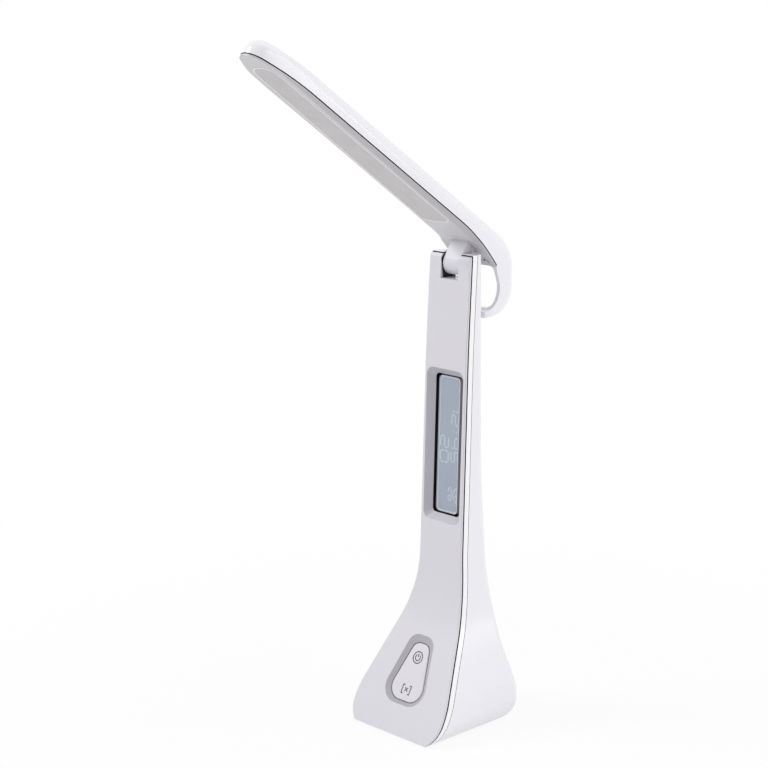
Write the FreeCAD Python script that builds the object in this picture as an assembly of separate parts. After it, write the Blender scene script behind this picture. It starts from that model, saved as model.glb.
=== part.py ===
"""Folding LED table lamp: a waisted stand with a display and a rocker key, and a hinged light head."""
import FreeCAD
import Part
import math
import os

# All lengths are in millimetres, angles in degrees.
# The origin lies on the table under the stand, +Z is up and the front faces -Y.

# Stand seen from the front: half widths and the heights where they apply
stand_height = 265.0
top_half = 15.35
waist_half = 16.05
waist_height = 78.4
waist_round = 150.0
base_half = 33.95
base_high = 17.6
base_low = 4.1
hip_round = 39.0
base_round = 14.0
foot_half = 27.3

# Stand seen from the side: distance of the front and back faces behind the origin
front_top = 12.35
front_neck = 9.5
neck_drop = 50.0
neck_round = 1500.0
front_waist = 5.2
slope_height = 71.4
slope_round = 80.0
front_foot = -34.5
back_top = 23.5
back_middle = 25.0
back_middle_drop = 120.0
back_middle_round = 400.0
back_waist = 30.6
back_waist_height = 68.0
back_waist_round = 200.0
back_hip = 32.0
back_hip_height = 44.0
back_hip_round = 60.0
back_base = 37.1
back_base_height = 22.0
back_base_round = 30.0
back_edge_round = 5.0
back_edge_least = 1.0
ear_edge_round = 3.4

# Layers of the stand, from the front inwards
panel_thick = 2.0
panel_edge = 1.1
panel_edge_round = 0.6
rim_depth = 3.4
rim_seam = 0.3
ledge_inset = 0.9
rim_wall = 2.0
shell_wall = 2.0
foot_gap = 0.8
frame_bottom_wall = 2.4

# Hinge between stand and head, its axis runs along X
hinge_setback = 3.8
hinge_drop = 6.0
knuckle_radius = 6.7
knuckle_drop = 8.2
tongue_half = 6.0
washer_thick = 0.5
washer_radius = 5.0
washer_play = 0.05
pin_radius = 2.0
pin_half = 12.0
pin_play = 0.05
ear_solid = 6.5

# Display in the upper part of the front panel, sizes along the panel
display_drop = 57.13
recess_half_width = 13.9
recess_half_length = 43.3
recess_round = 5.0
recess_depth = 3.6
recess_slope = 3.6
bezel_wall = 1.4
bezel_lip = 0.3
lens_margin = 2.3
lens_end_margin = 1.0
lens_round = 2.4
lens_sink = 3.9
lens_thick = 2.5
cell_thick = 1.8
tray_floor = 1.0
tray_wall = 1.2
tray_overlap = 0.6
board_gap = 1.8
board_thick = 1.2
board_half_width = 11.0
board_half_length = 52.0
board_drop = 4.0
board_round = 1.0
standoff_spread = 7.5
standoff_reach = 30.0
standoff_radius = 2.2
buzzer_radius = 4.5
buzzer_height = 3.5
buzzer_margin = 3.0
chip_size = 8.0
chip_height = 1.2

# Rocker key on the sloping lower part of the front panel
key_place = 45.0
dish_top = 21.5
dish_bottom = 19.0
dish_top_half = 8.4
dish_bottom_half = 17.4
dish_top_round = 7.0
dish_bottom_round = 10.0
dish_depth = 1.6
key_top = 17.0
key_bottom = 16.5
key_top_half = 5.5
key_bottom_half = 13.9
key_top_round = 5.0
key_bottom_round = 8.0
key_sink = 1.3
key_thick = 2.5
key_edge_round = 0.7
key_play = 0.35
key_flange = 1.2
key_flange_thick = 0.9
key_pivot_depth = 6.0
key_pin_radius = 1.0
key_pin_play = 0.06
key_boss_half = 4.6
key_boss_reach = 2.2
post_wall = 2.6
post_play = 0.4
post_cap = 0.7
switch_reach = 11.5
switch_half = 3.0
switch_height = 2.6
stem_radius = 1.0
stem_play = 0.05
stem_proud = 0.8
stem_depth = 1.6
stem_room = 0.5
nub_radius = 0.8
nub_height = 1.35
key_board_thick = 1.2
bracket_thick = 1.4
bracket_half = 23.0
bracket_reach = 16.5
boss_spread = 19.5
boss_radius = 2.5
small_screw_radius = 1.0
small_head_radius = 1.9
small_head_thick = 1.2
small_screw_grip = 4.0

# Base: closing plate, rubber pad, ballast, battery and charging socket
base_plate_thick = 2.2
base_plate_play = 0.2
pad_inset = 0.8
ballast_thick = 6.0
ballast_inset = 2.5
base_screw_radius = 1.5
base_head_radius = 2.8
base_head_thick = 1.4
base_screw_grip = 4.5
base_screw_spread = 17.0
base_screw_front = -2.0
base_screw_back = 22.0
battery_half_width = 23.0
battery_depth = 26.0
battery_thick = 10.0
battery_front = -3.0
battery_round = 3.0
charge_board_half = 11.0
charge_board_depth = 9.0
charge_board_thick = 1.2
socket_half = 4.5
socket_height = 3.2
socket_depth = 7.5
socket_wall = 0.35
socket_play = 0.3
socket_recess = 0.4

# Head: measured along the head from the hinge axis, and square to it
head_pitch = 34.3
head_half = 15.5
head_reach = 190.4
seam_rise = 12.6
top_rise = 11.0
top_edge_round = 7.5
nose_length = 37.0
nose_round = 9.0
seam_gap = 0.3
bend_round = 120.0
hollow_wall = 3.0

# Hook at the back of the head, round a loop that is open towards the stand
loop_back = -11.0
loop_drop = -9.4
loop_radius = 12.2
loop_wall = 2.7
loop_start = -11.5
hook_top = -20.6
hook_heel = -42.5
hook_heel_rise = -8.5
hook_turn = -25.6
hook_turn_rise = -20.1
hook_tip_angle = 231.5
hook_tip_thick = 3.3
hook_top_round = 26.0
hook_heel_round = 17.0
hook_turn_round = 12.0

# Window through the back of the hook, between its two arms and over its lower bar
hook_arm = 2.2
window_low = -9.9
window_pitch = 25.3
window_round = 3.0

# Lower cover of the head
cover_tip_thick = 0.9
cover_root = 26.0
cover_root_thick = 2.3
cover_hinge = 6.0
cover_hinge_thick = 0.6
cover_flat_half = 12.5
plate_front = 14.0
plate_back = -10.0
plate_thick = 2.4
cover_play = 0.2
cover_screw_spread = 9.9
cover_screw_place = -8.6
cover_boss_radius = 2.4

# Light unit in the head
diffuser_back = 28.5
diffuser_margin = 11.9
diffuser_back_half = 10.8
diffuser_tip_half = 8.5
diffuser_back_round = 5.0
diffuser_tip_round = 7.0
diffuser_lip = 0.8
diffuser_lip_thick = 1.0
diffuser_play = 0.15
reflector_wall = 0.8
led_board_thick = 1.0
led_size = 2.8
led_height = 0.8
led_pitch = 10.0
led_spread = 3.2
led_margin = 10.0

# Hinge tongue between the head and the knuckle
tongue_back = 4.0
flange_half = 9.6
flange_front = 12.5
flange_thick = 2.4
flange_play = 0.1
flange_screw_spread = 8.0
flange_screw_place = 9.6
flange_screw_grip = 1.6


def vec(x, y, z):
    """Short form of a point or direction."""
    return FreeCAD.Vector(x, y, z)


AXIS_X = vec(1, 0, 0)
AXIS_Y = vec(0, 1, 0)
AXIS_Z = vec(0, 0, 1)

# Limits for telling points, directions and sides apart
NEAR = 1e-4
STEEP = 0.3


def on_xz(a, b):
    """Point of a front view outline."""
    return vec(a, 0, b)


def on_yz(a, b):
    """Point of a side view outline."""
    return vec(0, a, b)


def on_xy(a, b):
    """Point of a plan outline."""
    return vec(a, b, 0)


def rounded_corners(points, radii, closed):
    """Entry, middle, exit and centre of the arc at each corner, radii limited by the sides."""
    nodes = [vec(a, b, 0) for a, b in points]
    count = len(nodes)
    reaches = []
    halves = []
    for i, here in enumerate(nodes):
        is_end = not closed and i in (0, count - 1)
        if is_end or radii[i] <= 0:
            reaches.append(0.0)
            halves.append(None)
            continue
        half = (nodes[i - 1] - here).getAngle(nodes[(i + 1) % count] - here) / 2
        reaches.append(radii[i] / math.tan(half))
        halves.append(half)
    shares = []
    for i in range(count):
        length = (nodes[(i + 1) % count] - nodes[i]).Length
        wanted = reaches[i] + reaches[(i + 1) % count]
        shares.append(min(1.0, length / wanted) if wanted > 0 else 1.0)
    corners = []
    for i, here in enumerate(nodes):
        if halves[i] is None:
            corners.append((here, None, here, None))
            continue
        reach = reaches[i] * min(shares[i], shares[i - 1])
        radius = reach * math.tan(halves[i])
        to_last = (nodes[i - 1] - here).normalize()
        to_next = (nodes[(i + 1) % count] - here).normalize()
        inwards = (to_last + to_next).normalize()
        centre = here + inwards * (radius / math.sin(halves[i]))
        middle = centre - inwards * radius
        corners.append((here + to_last * reach, middle, here + to_next * reach, centre))
    return corners


def outline_edges(points, radii, place, closed=True):
    """Lines and tangent arcs through the points, laid out in space by place."""
    corners = rounded_corners(points, radii, closed)
    edges = []
    for i, (entry, middle, leave, _) in enumerate(corners):
        if middle is not None:
            arc = Part.Arc(place(entry.x, entry.y), place(middle.x, middle.y), place(leave.x, leave.y))
            edges.append(arc.toShape())
        if i + 1 < len(corners) or closed:
            start = place(leave.x, leave.y)
            following = corners[(i + 1) % len(corners)][0]
            end = place(following.x, following.y)
            if start.distanceToPoint(end) > NEAR:
                edges.append(Part.LineSegment(start, end).toShape())
    return edges


def outline_face(points, radii, place):
    """Flat face inside a closed outline."""
    return Part.Face(Part.Wire(outline_edges(points, radii, place)))


def shifted_path(points, radii, distance):
    """Open path moved to the right of its direction of travel, arcs staying concentric."""
    nodes = [vec(a, b, 0) for a, b in points]
    runs = [(nodes[i + 1] - nodes[i]).normalize() for i in range(len(nodes) - 1)]
    rights = [vec(run.y, -run.x, 0) for run in runs]
    moved = [nodes[0] + rights[0] * distance]
    sizes = [radii[0]]
    for i in range(1, len(nodes) - 1):
        bisector = rights[i - 1] + rights[i]
        step = distance * 2 / (bisector.Length ** 2)
        moved.append(nodes[i] + bisector * step)
        turn = runs[i - 1].cross(runs[i]).z
        sizes.append(max(0.0, radii[i] + math.copysign(distance, turn)))
    moved.append(nodes[-1] + rights[-1] * distance)
    sizes.append(radii[-1])
    return [(node.x, node.y) for node in moved], sizes


def extended(points, length):
    """Open path with its first and last runs made longer."""
    first = vec(*points[0], 0)
    second = vec(*points[1], 0)
    last = vec(*points[-1], 0)
    before = vec(*points[-2], 0)
    start = first + (first - second).normalize() * length
    end = last + (last - before).normalize() * length
    return [(start.x, start.y)] + points[1:-1] + [(end.x, end.y)]


def prism(face, direction, start, end):
    """Solid from a face moved along a direction, between two distances."""
    base = face.copy()
    base.translate(direction * start)
    return base.extrude(direction * (end - start))


def box(x0, x1, y0, y1, z0, z1):
    """Block between two corners."""
    return Part.makeBox(x1 - x0, y1 - y0, z1 - z0, vec(x0, y0, z0))


def rounded_plate(half_x, half_y, radius, z0, z1, centre_y=0.0):
    """Upright plate with rounded corners, in its own flat frame."""
    points = [(-half_x, centre_y - half_y), (half_x, centre_y - half_y),
              (half_x, centre_y + half_y), (-half_x, centre_y + half_y)]
    return prism(outline_face(points, [radius] * 4, on_xy), AXIS_Z, z0, z1)


def cylinder(radius, base, direction, length):
    """Round bar from a point."""
    return Part.makeCylinder(radius, length, base, direction)


def placed(shape, origin, along, normal, across=AXIS_X):
    """Shape moved from its own flat frame to a place on the lamp."""
    result = shape.copy()
    turn = FreeCAD.Rotation(across, along, normal, "ZXY")
    result.Placement = FreeCAD.Placement(origin, turn)
    return result


# Outlines of the stand, and lengths by which cutting forms reach past it

FAR = 400.0
BEYOND = 100.0
OVERRUN = 14.0
SPARE = 1.0

neck_height = stand_height - neck_drop
back_middle_height = stand_height - back_middle_drop
FRONT_PATH = [(front_foot, 0.0), (front_waist, slope_height), (front_neck, neck_height),
              (front_top, stand_height)]
FRONT_RADII = [0.0, slope_round, neck_round, 0.0]
BACK_PATH = [(back_top, stand_height), (back_middle, back_middle_height),
             (back_waist, back_waist_height), (back_hip, back_hip_height),
             (back_base, back_base_height), (back_base, base_low),
             (back_base - base_half + foot_half, 0.0)]
BACK_RADII = [0.0, back_middle_round, back_waist_round, back_hip_round, back_base_round,
              base_round, 0.0]
SIDE_PATH = [(foot_half, 0.0), (base_half, base_low), (base_half, base_high),
             (waist_half, waist_height), (top_half, stand_height)]
SIDE_RADII = [0.0, base_round, hip_round, waist_round, 0.0]

rim_back = panel_thick + rim_depth
shell_front = rim_back + rim_seam
hinge_back = back_top - hinge_setback
hinge_height = stand_height - hinge_drop
notch_half = tongue_half + washer_thick + 2 * washer_play
notch_floor = hinge_height - knuckle_drop
cavity_top = notch_floor - ear_solid


def front_view(inset):
    """Stand seen from the front, drawn in by an inset, as a long prism."""
    right, radii = shifted_path(SIDE_PATH, SIDE_RADII, -inset)
    right = extended(right, OVERRUN)
    left = [(-x, z) for x, z in reversed(right)]
    face = outline_face(right + left, radii + radii[::-1], on_xz)
    long_prism = prism(face, AXIS_Y, -FAR, FAR)
    return long_prism.common(box(-FAR, FAR, -FAR, FAR, -OVERRUN / 4, stand_height - inset))


def side_view(depth, inset):
    """Stand seen from the side, from a depth behind its front to an inset from its back."""
    front, front_radii = shifted_path(FRONT_PATH, FRONT_RADII, depth)
    back, back_radii = shifted_path(BACK_PATH, BACK_RADII, inset)
    points = extended(front, OVERRUN) + extended(back, OVERRUN)
    face = outline_face(points, front_radii + back_radii, on_yz)
    return prism(face, AXIS_X, -FAR, FAR)


def behind(depth):
    """Everything further back than a depth behind the stand's front."""
    return side_view(depth, -OVERRUN / 2)


def upright_edges(form, at_back):
    """Rising edges of a form of the stand, at its back or at its front."""
    middle_depth = (front_top + back_top) / 2
    found = []
    for edge in form.Edges:
        middle = (edge.FirstParameter + edge.LastParameter) / 2
        where = edge.valueAt(middle)
        if abs(edge.tangentAt(middle).z) > STEEP and (where.y > middle_depth) == at_back:
            found.append(edge)
    return found


def stand_form(inset):
    """Outer form of the stand drawn in by an inset, with rounded upright edges at the back."""
    form = front_view(inset).common(side_view(0.0, inset))
    return form.makeFillet(max(back_edge_round - inset, back_edge_least), upright_edges(form, True))


def slab(form, low, high):
    """Part of a form between two heights."""
    return form.common(box(-FAR, FAR, -FAR, FAR, low, high))


def stand_blank():
    """Outer form of the whole stand with rounded ears and front edges."""
    form = slab(stand_form(0.0), foot_gap, stand_height)
    top_edges = []
    for edge in form.Edges:
        centre = edge.CenterOfMass
        on_top = abs(centre.z - stand_height) < NEAR
        if on_top and abs(centre.x) < NEAR and centre.y < (front_top + back_top) / 2:
            top_edges.append(edge)
    form = form.makeFillet(ear_edge_round, top_edges)
    return form.makeFillet(panel_edge_round, upright_edges(form, False))


def notch():
    """Gap in the top of the stand for the hinge tongue."""
    return box(-notch_half, notch_half, -FAR, FAR, notch_floor, stand_height + OVERRUN)


def hinge_bar(radius, half_length):
    """Round bar along the hinge axis."""
    start = vec(-half_length, hinge_back, hinge_height)
    return cylinder(radius, start, AXIS_X, 2 * half_length)


# Flat frames on the front panel: origin, direction up the panel and direction out of it

def panel_frame(low, high, distance):
    """Frame on a straight stretch of the panel, at a distance down from its upper end."""
    top = on_yz(*high)
    up = (top - on_yz(*low)).normalize()
    return top - up * distance, up, AXIS_X.cross(up)


DISPLAY_FRAME = panel_frame(FRONT_PATH[1], FRONT_PATH[2], display_drop)
KEY_FRAME = panel_frame(FRONT_PATH[0], FRONT_PATH[1], key_place)

opening_half_width = recess_half_width - recess_slope
opening_half_length = recess_half_length - recess_slope
lens_half_width = opening_half_width - lens_margin
lens_half_length = opening_half_length - lens_end_margin
bezel_back = recess_depth + bezel_lip
cell_front = lens_sink + lens_thick
cell_back = cell_front + cell_thick
tray_back = cell_back + tray_floor
board_front = tray_back + board_gap
board_back = board_front + board_thick
standoff_places = [(x, y) for x in (-standoff_spread, standoff_spread)
                   for y in (-standoff_reach, standoff_reach)]


def plate_outline(half_x, half_y, radius):
    """Points and radii of a rounded rectangle."""
    points = [(-half_x, -half_y), (half_x, -half_y), (half_x, half_y), (-half_x, half_y)]
    return points, [radius] * 4


def tapered(upper, lower, high, low):
    """Solid between two outlines of the same make at two heights."""
    wires = []
    for (points, radii), height in ((upper, high), (lower, low)):
        wire = Part.Wire(outline_edges(points, radii, on_xy))
        wire.translate(AXIS_Z * height)
        wires.append(wire)
    return Part.makeLoft(wires, True, True)


def display_recess():
    """Space of the display recess: sloping sides, then a straight opening."""
    flare = SPARE * recess_slope / recess_depth
    mouth = plate_outline(recess_half_width + flare, recess_half_length + flare, recess_round)
    throat = plate_outline(opening_half_width, opening_half_length, recess_round / 2)
    funnel = tapered(mouth, throat, SPARE, -recess_depth)
    hole = prism(outline_face(*throat, on_xy), AXIS_Z, -bezel_back - SPARE, -recess_depth)
    return funnel.fuse(hole)


def display_bezel():
    """Thicker rim behind the panel, round the display recess."""
    reach = bezel_wall - panel_thick * recess_slope / recess_depth
    return rounded_plate(recess_half_width + reach, recess_half_length + reach, recess_round,
                         -bezel_back, -panel_thick / 2)


def key_outline(top, bottom, top_half, bottom_half, top_round, bottom_round, grow):
    """Points and radii of the drop shaped key outline, grown all round."""
    points = [(-bottom_half - grow, -bottom - grow), (bottom_half + grow, -bottom - grow),
              (top_half + grow, top + grow), (-top_half - grow, top + grow)]
    radii = [bottom_round + grow, bottom_round + grow, top_round + grow, top_round + grow]
    return points, radii


def dish_shape():
    """Outline of the key's dish at the panel surface."""
    return key_outline(dish_top, dish_bottom, dish_top_half, dish_bottom_half,
                       dish_top_round, dish_bottom_round, 0.0)


def key_shape(grow):
    """Outline of the key, grown all round."""
    return key_outline(key_top, key_bottom, key_top_half, key_bottom_half,
                       key_top_round, key_bottom_round, grow)


def key_dish():
    """Space of the key's dish and of the hole that the key moves in."""
    mouth = prism(outline_face(*dish_shape(), on_xy), AXIS_Z, 0.0, SPARE)
    bowl = tapered(dish_shape(), key_shape(key_play), 0.0, -dish_depth)
    hole = prism(outline_face(*key_shape(key_play), on_xy), AXIS_Z, -panel_thick - SPARE, -dish_depth)
    return mouth.fuse([bowl, hole])


key_low = key_sink + key_thick
switch_top = key_low + nub_height + stem_play + stem_proud
key_board_front = switch_top + switch_height
bracket_front = key_board_front + key_board_thick
bracket_back = bracket_front + bracket_thick
post_inner = key_boss_half + post_play
post_outer = post_inner + post_wall


def both_sides(shape):
    """A shape and its mirror image across the middle plane."""
    return [shape, shape.mirror(vec(0, 0, 0), AXIS_X)]


def screw(radius, head_radius, head_thick, seat, direction, grip):
    """Screw with its head on a seat and its shank running along a direction."""
    shank = cylinder(radius, seat, direction, grip)
    head = cylinder(head_radius, seat, direction * -1, head_thick)
    return shank.fuse(head).removeSplitter()


def small_screw(seat, direction, grip):
    """One of the lamp's small screws."""
    return screw(small_screw_radius, small_head_radius, small_head_thick, seat, direction, grip)


# Pieces of the stand

def make_front_panel(blank, ledge_form):
    """Satin front with the display recess, the key's dish, two bosses and a rebate round its back."""
    face = blank.cut(behind(panel_edge))
    ledge = slab(ledge_form, foot_gap, stand_height).common(behind(panel_edge)).cut(behind(panel_thick))
    panel = face.fuse(ledge).cut(notch())
    panel = panel.fuse(placed(display_bezel(), *DISPLAY_FRAME))
    bosses = []
    for x in (-boss_spread, boss_spread):
        boss = cylinder(boss_radius, vec(x, 0, -bracket_front), AXIS_Z, bracket_front - panel_thick / 2)
        bosses.append(placed(boss, *KEY_FRAME))
    panel = panel.fuse(bosses)
    for x in (-boss_spread, boss_spread):
        bore = cylinder(small_screw_radius, vec(x, 0, -bracket_front), AXIS_Z, small_screw_grip)
        panel = panel.cut(placed(bore, *KEY_FRAME))
    return panel.cut(placed(display_recess(), *DISPLAY_FRAME)).cut(placed(key_dish(), *KEY_FRAME))


def make_front_frame(blank, ledge_form, opening_form):
    """Glossy rim behind the panel, with a set-back ledge at its back that makes the seam."""
    rim = blank.common(behind(panel_thick)).cut(behind(rim_back))
    ledge = slab(ledge_form, foot_gap, stand_height).common(behind(rim_back)).cut(behind(shell_front))
    opening = slab(opening_form, foot_gap + frame_bottom_wall, cavity_top)
    frame = rim.fuse(ledge).cut(opening).cut(notch())
    return frame.cut(hinge_bar(pin_radius, pin_half)).removeSplitter()


def socket_box(play, depth_start):
    """Space that the charging socket takes, with play round it, out through the back."""
    low = ballast_top + charge_board_thick
    return box(-socket_half - play, socket_half + play, depth_start, back_base + OVERRUN,
               low - play, low + socket_height + play)


base_plate_top = foot_gap + base_plate_thick
ballast_top = base_plate_top + ballast_thick
socket_back = back_base - socket_recess
base_screw_places = [(x, y) for x in (-base_screw_spread, base_screw_spread)
                     for y in (base_screw_front, base_screw_back)]


def make_rear_shell(blank, cavity_form):
    """Glossy back of the stand, hollow below the ears and open underneath."""
    shell = blank.common(behind(shell_front))
    cavity = slab(cavity_form, -OVERRUN, cavity_top)
    shell = shell.cut(cavity).cut(notch()).cut(hinge_bar(pin_radius, pin_half))
    return shell.cut(socket_box(socket_play, socket_back - socket_depth / 2))


def make_base_plate():
    """Plate that closes the stand from below, with sunk screw holes."""
    plate = slab(stand_form(shell_wall + base_plate_play), foot_gap, base_plate_top)
    plate = plate.common(behind(shell_front + base_plate_play))
    for x, y in base_screw_places:
        plate = plate.cut(cylinder(base_screw_radius, vec(x, y, foot_gap), AXIS_Z, base_plate_thick))
        plate = plate.cut(cylinder(base_head_radius, vec(x, y, foot_gap), AXIS_Z, base_head_thick))
    return plate


def make_base_pad():
    """Rubber pad that the lamp stands on."""
    inset = shell_wall + base_plate_play + pad_inset
    form = stand_form(inset).common(behind(shell_front + pad_inset))
    floor = Part.makePlane(2 * FAR, 2 * FAR, vec(-FAR, -FAR, 0))
    outline = form.common(floor).Faces[0]
    return outline.extrude(AXIS_Z * foot_gap)


def make_ballast():
    """Steel weight on the base plate."""
    inset = shell_wall + ballast_inset
    plate = slab(stand_form(inset), base_plate_top, ballast_top).common(behind(shell_front + ballast_inset))
    for x, y in base_screw_places:
        plate = plate.cut(cylinder(base_screw_radius, vec(x, y, base_plate_top), AXIS_Z, base_screw_grip))
    return plate


def make_base_screws():
    """Screws that hold the ballast to the base plate, heads sunk."""
    seat = foot_gap + base_head_thick
    grip = base_plate_top - seat + base_screw_grip
    screws = [screw(base_screw_radius, base_head_radius, base_head_thick, vec(x, y, seat), AXIS_Z, grip)
              for x, y in base_screw_places]
    return Part.makeCompound(screws)


def make_battery():
    """Flat rechargeable cell on the ballast."""
    half_depth = battery_depth / 2
    cell = rounded_plate(battery_half_width, half_depth, battery_round, ballast_top,
                         ballast_top + battery_thick, battery_front + half_depth)
    return cell


def make_charge_board():
    """Small board that carries the charging socket."""
    back = socket_back - socket_depth / 2
    return box(-charge_board_half, charge_board_half, back - charge_board_depth, back,
               ballast_top, ballast_top + charge_board_thick)


def depth_edges(block):
    """Edges of a block that run from front to back."""
    return [edge for edge in block.Edges if edge.BoundBox.YLength > NEAR]


def make_charge_socket():
    """Metal charging socket, open at the back, with its contact tongue."""
    low = ballast_top + charge_board_thick
    front = socket_back - socket_depth
    body = box(-socket_half, socket_half, front, socket_back, low, low + socket_height)
    body = body.makeFillet(socket_height / 4, depth_edges(body))
    hollow = box(-socket_half + socket_wall, socket_half - socket_wall, front + 2 * socket_wall,
                 socket_back + SPARE, low + socket_wall, low + socket_height - socket_wall)
    hollow = hollow.makeFillet(socket_height / 4 - socket_wall / 2, depth_edges(hollow))
    middle = low + socket_height / 2
    tongue = box(-socket_half / 2, socket_half / 2, front + socket_wall, socket_back - socket_depth / 4,
                 middle - socket_wall, middle + socket_wall)
    return body.cut(hollow).fuse(tongue).removeSplitter()


# Pieces of the display

def make_display_lens():
    """Clear window over the display."""
    lens = rounded_plate(lens_half_width, lens_half_length, lens_round, -cell_front, -lens_sink)
    return placed(lens, *DISPLAY_FRAME)


def make_lcd_cell():
    """Display cell under the window."""
    cell = rounded_plate(lens_half_width, lens_half_length, lens_round, -cell_back, -cell_front)
    return placed(cell, *DISPLAY_FRAME)


def make_display_tray():
    """Black tray that holds the display behind the bezel, with standoffs for the main board."""
    inner_x = opening_half_width + tray_overlap
    inner_y = opening_half_length + tray_overlap
    tray = rounded_plate(inner_x + tray_wall, inner_y + tray_wall, recess_round, -tray_back, -bezel_back)
    tray = tray.cut(rounded_plate(inner_x, inner_y, recess_round / 2, -cell_back, 0.0))
    for x, y in standoff_places:
        foot = vec(x, y, -board_front)
        tray = tray.fuse(cylinder(standoff_radius, foot, AXIS_Z, board_gap + tray_floor / 2))
        tray = tray.cut(cylinder(small_screw_radius, foot, AXIS_Z, board_gap))
    return placed(tray, *DISPLAY_FRAME)


def make_main_board():
    """Main board behind the display."""
    board = rounded_plate(board_half_width, board_half_length, board_round, -board_back, -board_front,
                          -board_drop)
    for x, y in standoff_places:
        board = board.cut(cylinder(small_screw_radius, vec(x, y, -board_back), AXIS_Z, board_thick))
    return placed(board, *DISPLAY_FRAME)


def make_board_screws():
    """Screws through the main board into the tray's standoffs."""
    grip = board_thick + board_gap
    screws = [small_screw(vec(x, y, -board_back), AXIS_Z, grip) for x, y in standoff_places]
    return placed(Part.makeCompound(screws), *DISPLAY_FRAME)


def make_control_chip():
    """Control chip on the back of the main board."""
    half = chip_size / 2
    chip = box(-half, half, -half, half, -board_back - chip_height, -board_back)
    return placed(chip, *DISPLAY_FRAME)


def make_buzzer():
    """Alarm buzzer on the back of the main board, near its lower end."""
    place = buzzer_radius + buzzer_margin - board_drop - board_half_length
    low = vec(0, place, -board_back - buzzer_height)
    return placed(cylinder(buzzer_radius, low, AXIS_Z, buzzer_height), *DISPLAY_FRAME)


# Pieces of the key

def make_key_cap():
    """Rocker key: cap in the dish, flange behind the panel, boss on the pivot and two nubs."""
    cap = prism(outline_face(*key_shape(0.0), on_xy), AXIS_Z, -key_low, -key_sink)
    rim = [edge for edge in cap.Edges if abs(edge.CenterOfMass.z + key_sink) < NEAR]
    cap = cap.makeFillet(key_edge_round, rim)
    flange_face = outline_face(*key_shape(key_flange), on_xy)
    flange = prism(flange_face, AXIS_Z, -key_low, -key_low + key_flange_thick)
    boss_low = key_pivot_depth + key_pin_radius + post_cap
    boss = box(-key_boss_half, key_boss_half, -key_boss_reach, key_boss_reach, -boss_low, -key_low)
    nubs = [cylinder(nub_radius, vec(0, y, -key_low - nub_height), AXIS_Z, nub_height)
            for y in (-switch_reach, switch_reach)]
    bore = cylinder(key_pin_radius + key_pin_play, vec(-FAR, 0, -key_pivot_depth), AXIS_X, 2 * FAR)
    cap = cap.fuse([flange, boss] + nubs).cut(bore)
    return placed(cap.removeSplitter(), *KEY_FRAME)


def make_key_pin():
    """Pivot pin of the key."""
    pin = cylinder(key_pin_radius, vec(-post_outer, 0, -key_pivot_depth), AXIS_X, 2 * post_outer)
    return placed(pin, *KEY_FRAME)


def make_key_bracket():
    """Plate behind the key with the two posts that carry its pivot pin."""
    plate = box(-bracket_half, bracket_half, -bracket_reach, bracket_reach, -bracket_back, -bracket_front)
    post_top = key_pivot_depth - key_pin_radius - post_cap
    post = box(post_inner, post_outer, -key_boss_reach, key_boss_reach, -bracket_front, -post_top)
    bracket = plate.fuse(both_sides(post))
    bracket = bracket.cut(cylinder(key_pin_radius, vec(-FAR, 0, -key_pivot_depth), AXIS_X, 2 * FAR))
    for x in (-boss_spread, boss_spread):
        bracket = bracket.cut(cylinder(small_screw_radius, vec(x, 0, -bracket_back), AXIS_Z, bracket_thick))
    return placed(bracket.removeSplitter(), *KEY_FRAME)


def make_bracket_screws():
    """Screws through the key bracket into the panel's bosses."""
    grip = bracket_thick + small_screw_grip
    screws = [small_screw(vec(x, 0, -bracket_back), AXIS_Z, grip) for x in (-boss_spread, boss_spread)]
    return placed(Part.makeCompound(screws), *KEY_FRAME)


def make_key_board():
    """Switch board on the bracket, cut out round the posts."""
    half_x = boss_spread - boss_radius - post_play
    board = box(-half_x, half_x, -bracket_reach, bracket_reach, -bracket_front, -key_board_front)
    slot = box(post_inner - post_play, post_outer + post_play, -key_boss_reach - post_play,
               key_boss_reach + post_play, -FAR, FAR)
    for cut in both_sides(slot):
        board = board.cut(cut)
    return placed(board, *KEY_FRAME)


def make_tact_switches():
    """Two push switches under the ends of the key, without their stems."""
    switches = []
    for y in (-switch_reach, switch_reach):
        body = box(-switch_half, switch_half, y - switch_half, y + switch_half,
                   -key_board_front, -switch_top)
        hole_floor = vec(0, y, -switch_top - stem_depth - stem_room)
        switches.append(body.cut(cylinder(stem_radius + stem_play, hole_floor, AXIS_Z, FAR)))
    return placed(Part.makeCompound(switches), *KEY_FRAME)


def make_stem(y):
    """Stem of one push switch, touching the key's nub."""
    stem = cylinder(stem_radius, vec(0, y, -switch_top - stem_depth), AXIS_Z, stem_depth + stem_proud)
    return placed(stem, *KEY_FRAME)


# Outlines of the head, drawn with the hinge axis as origin: along the head, then square to it

pitch = math.radians(head_pitch)
HEAD_FRAME = (vec(0, hinge_back, hinge_height), vec(0, -math.cos(pitch), math.sin(pitch)),
              vec(0, math.sin(pitch), math.cos(pitch)), AXIS_X * -1)

seam_loop = loop_radius + loop_wall
LOOP = vec(loop_back, loop_drop, 0)
BEND = vec(loop_back + math.sqrt((bend_round - seam_loop) ** 2 - (seam_rise - bend_round - loop_drop) ** 2),
           seam_rise - bend_round, 0)
HOOK_TIP = math.radians(hook_tip_angle)
top_height = seam_rise + top_rise
tip_end = head_reach + OVERRUN


def polar(centre, radius, angle):
    """Point at a radius and angle round a centre."""
    return centre + vec(math.cos(angle), math.sin(angle), 0) * radius


def arc_edge(centre, radius, start, end):
    """Arc round a centre between two angles, in the side view."""
    points = [polar(centre, radius, angle) for angle in (start, (start + end) / 2, end)]
    return Part.Arc(*[on_yz(p.x, p.y) for p in points]).toShape()


def line_edge(start, end):
    """Straight line in the side view."""
    return Part.LineSegment(on_yz(start.x, start.y), on_yz(end.x, end.y)).toShape()


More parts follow.
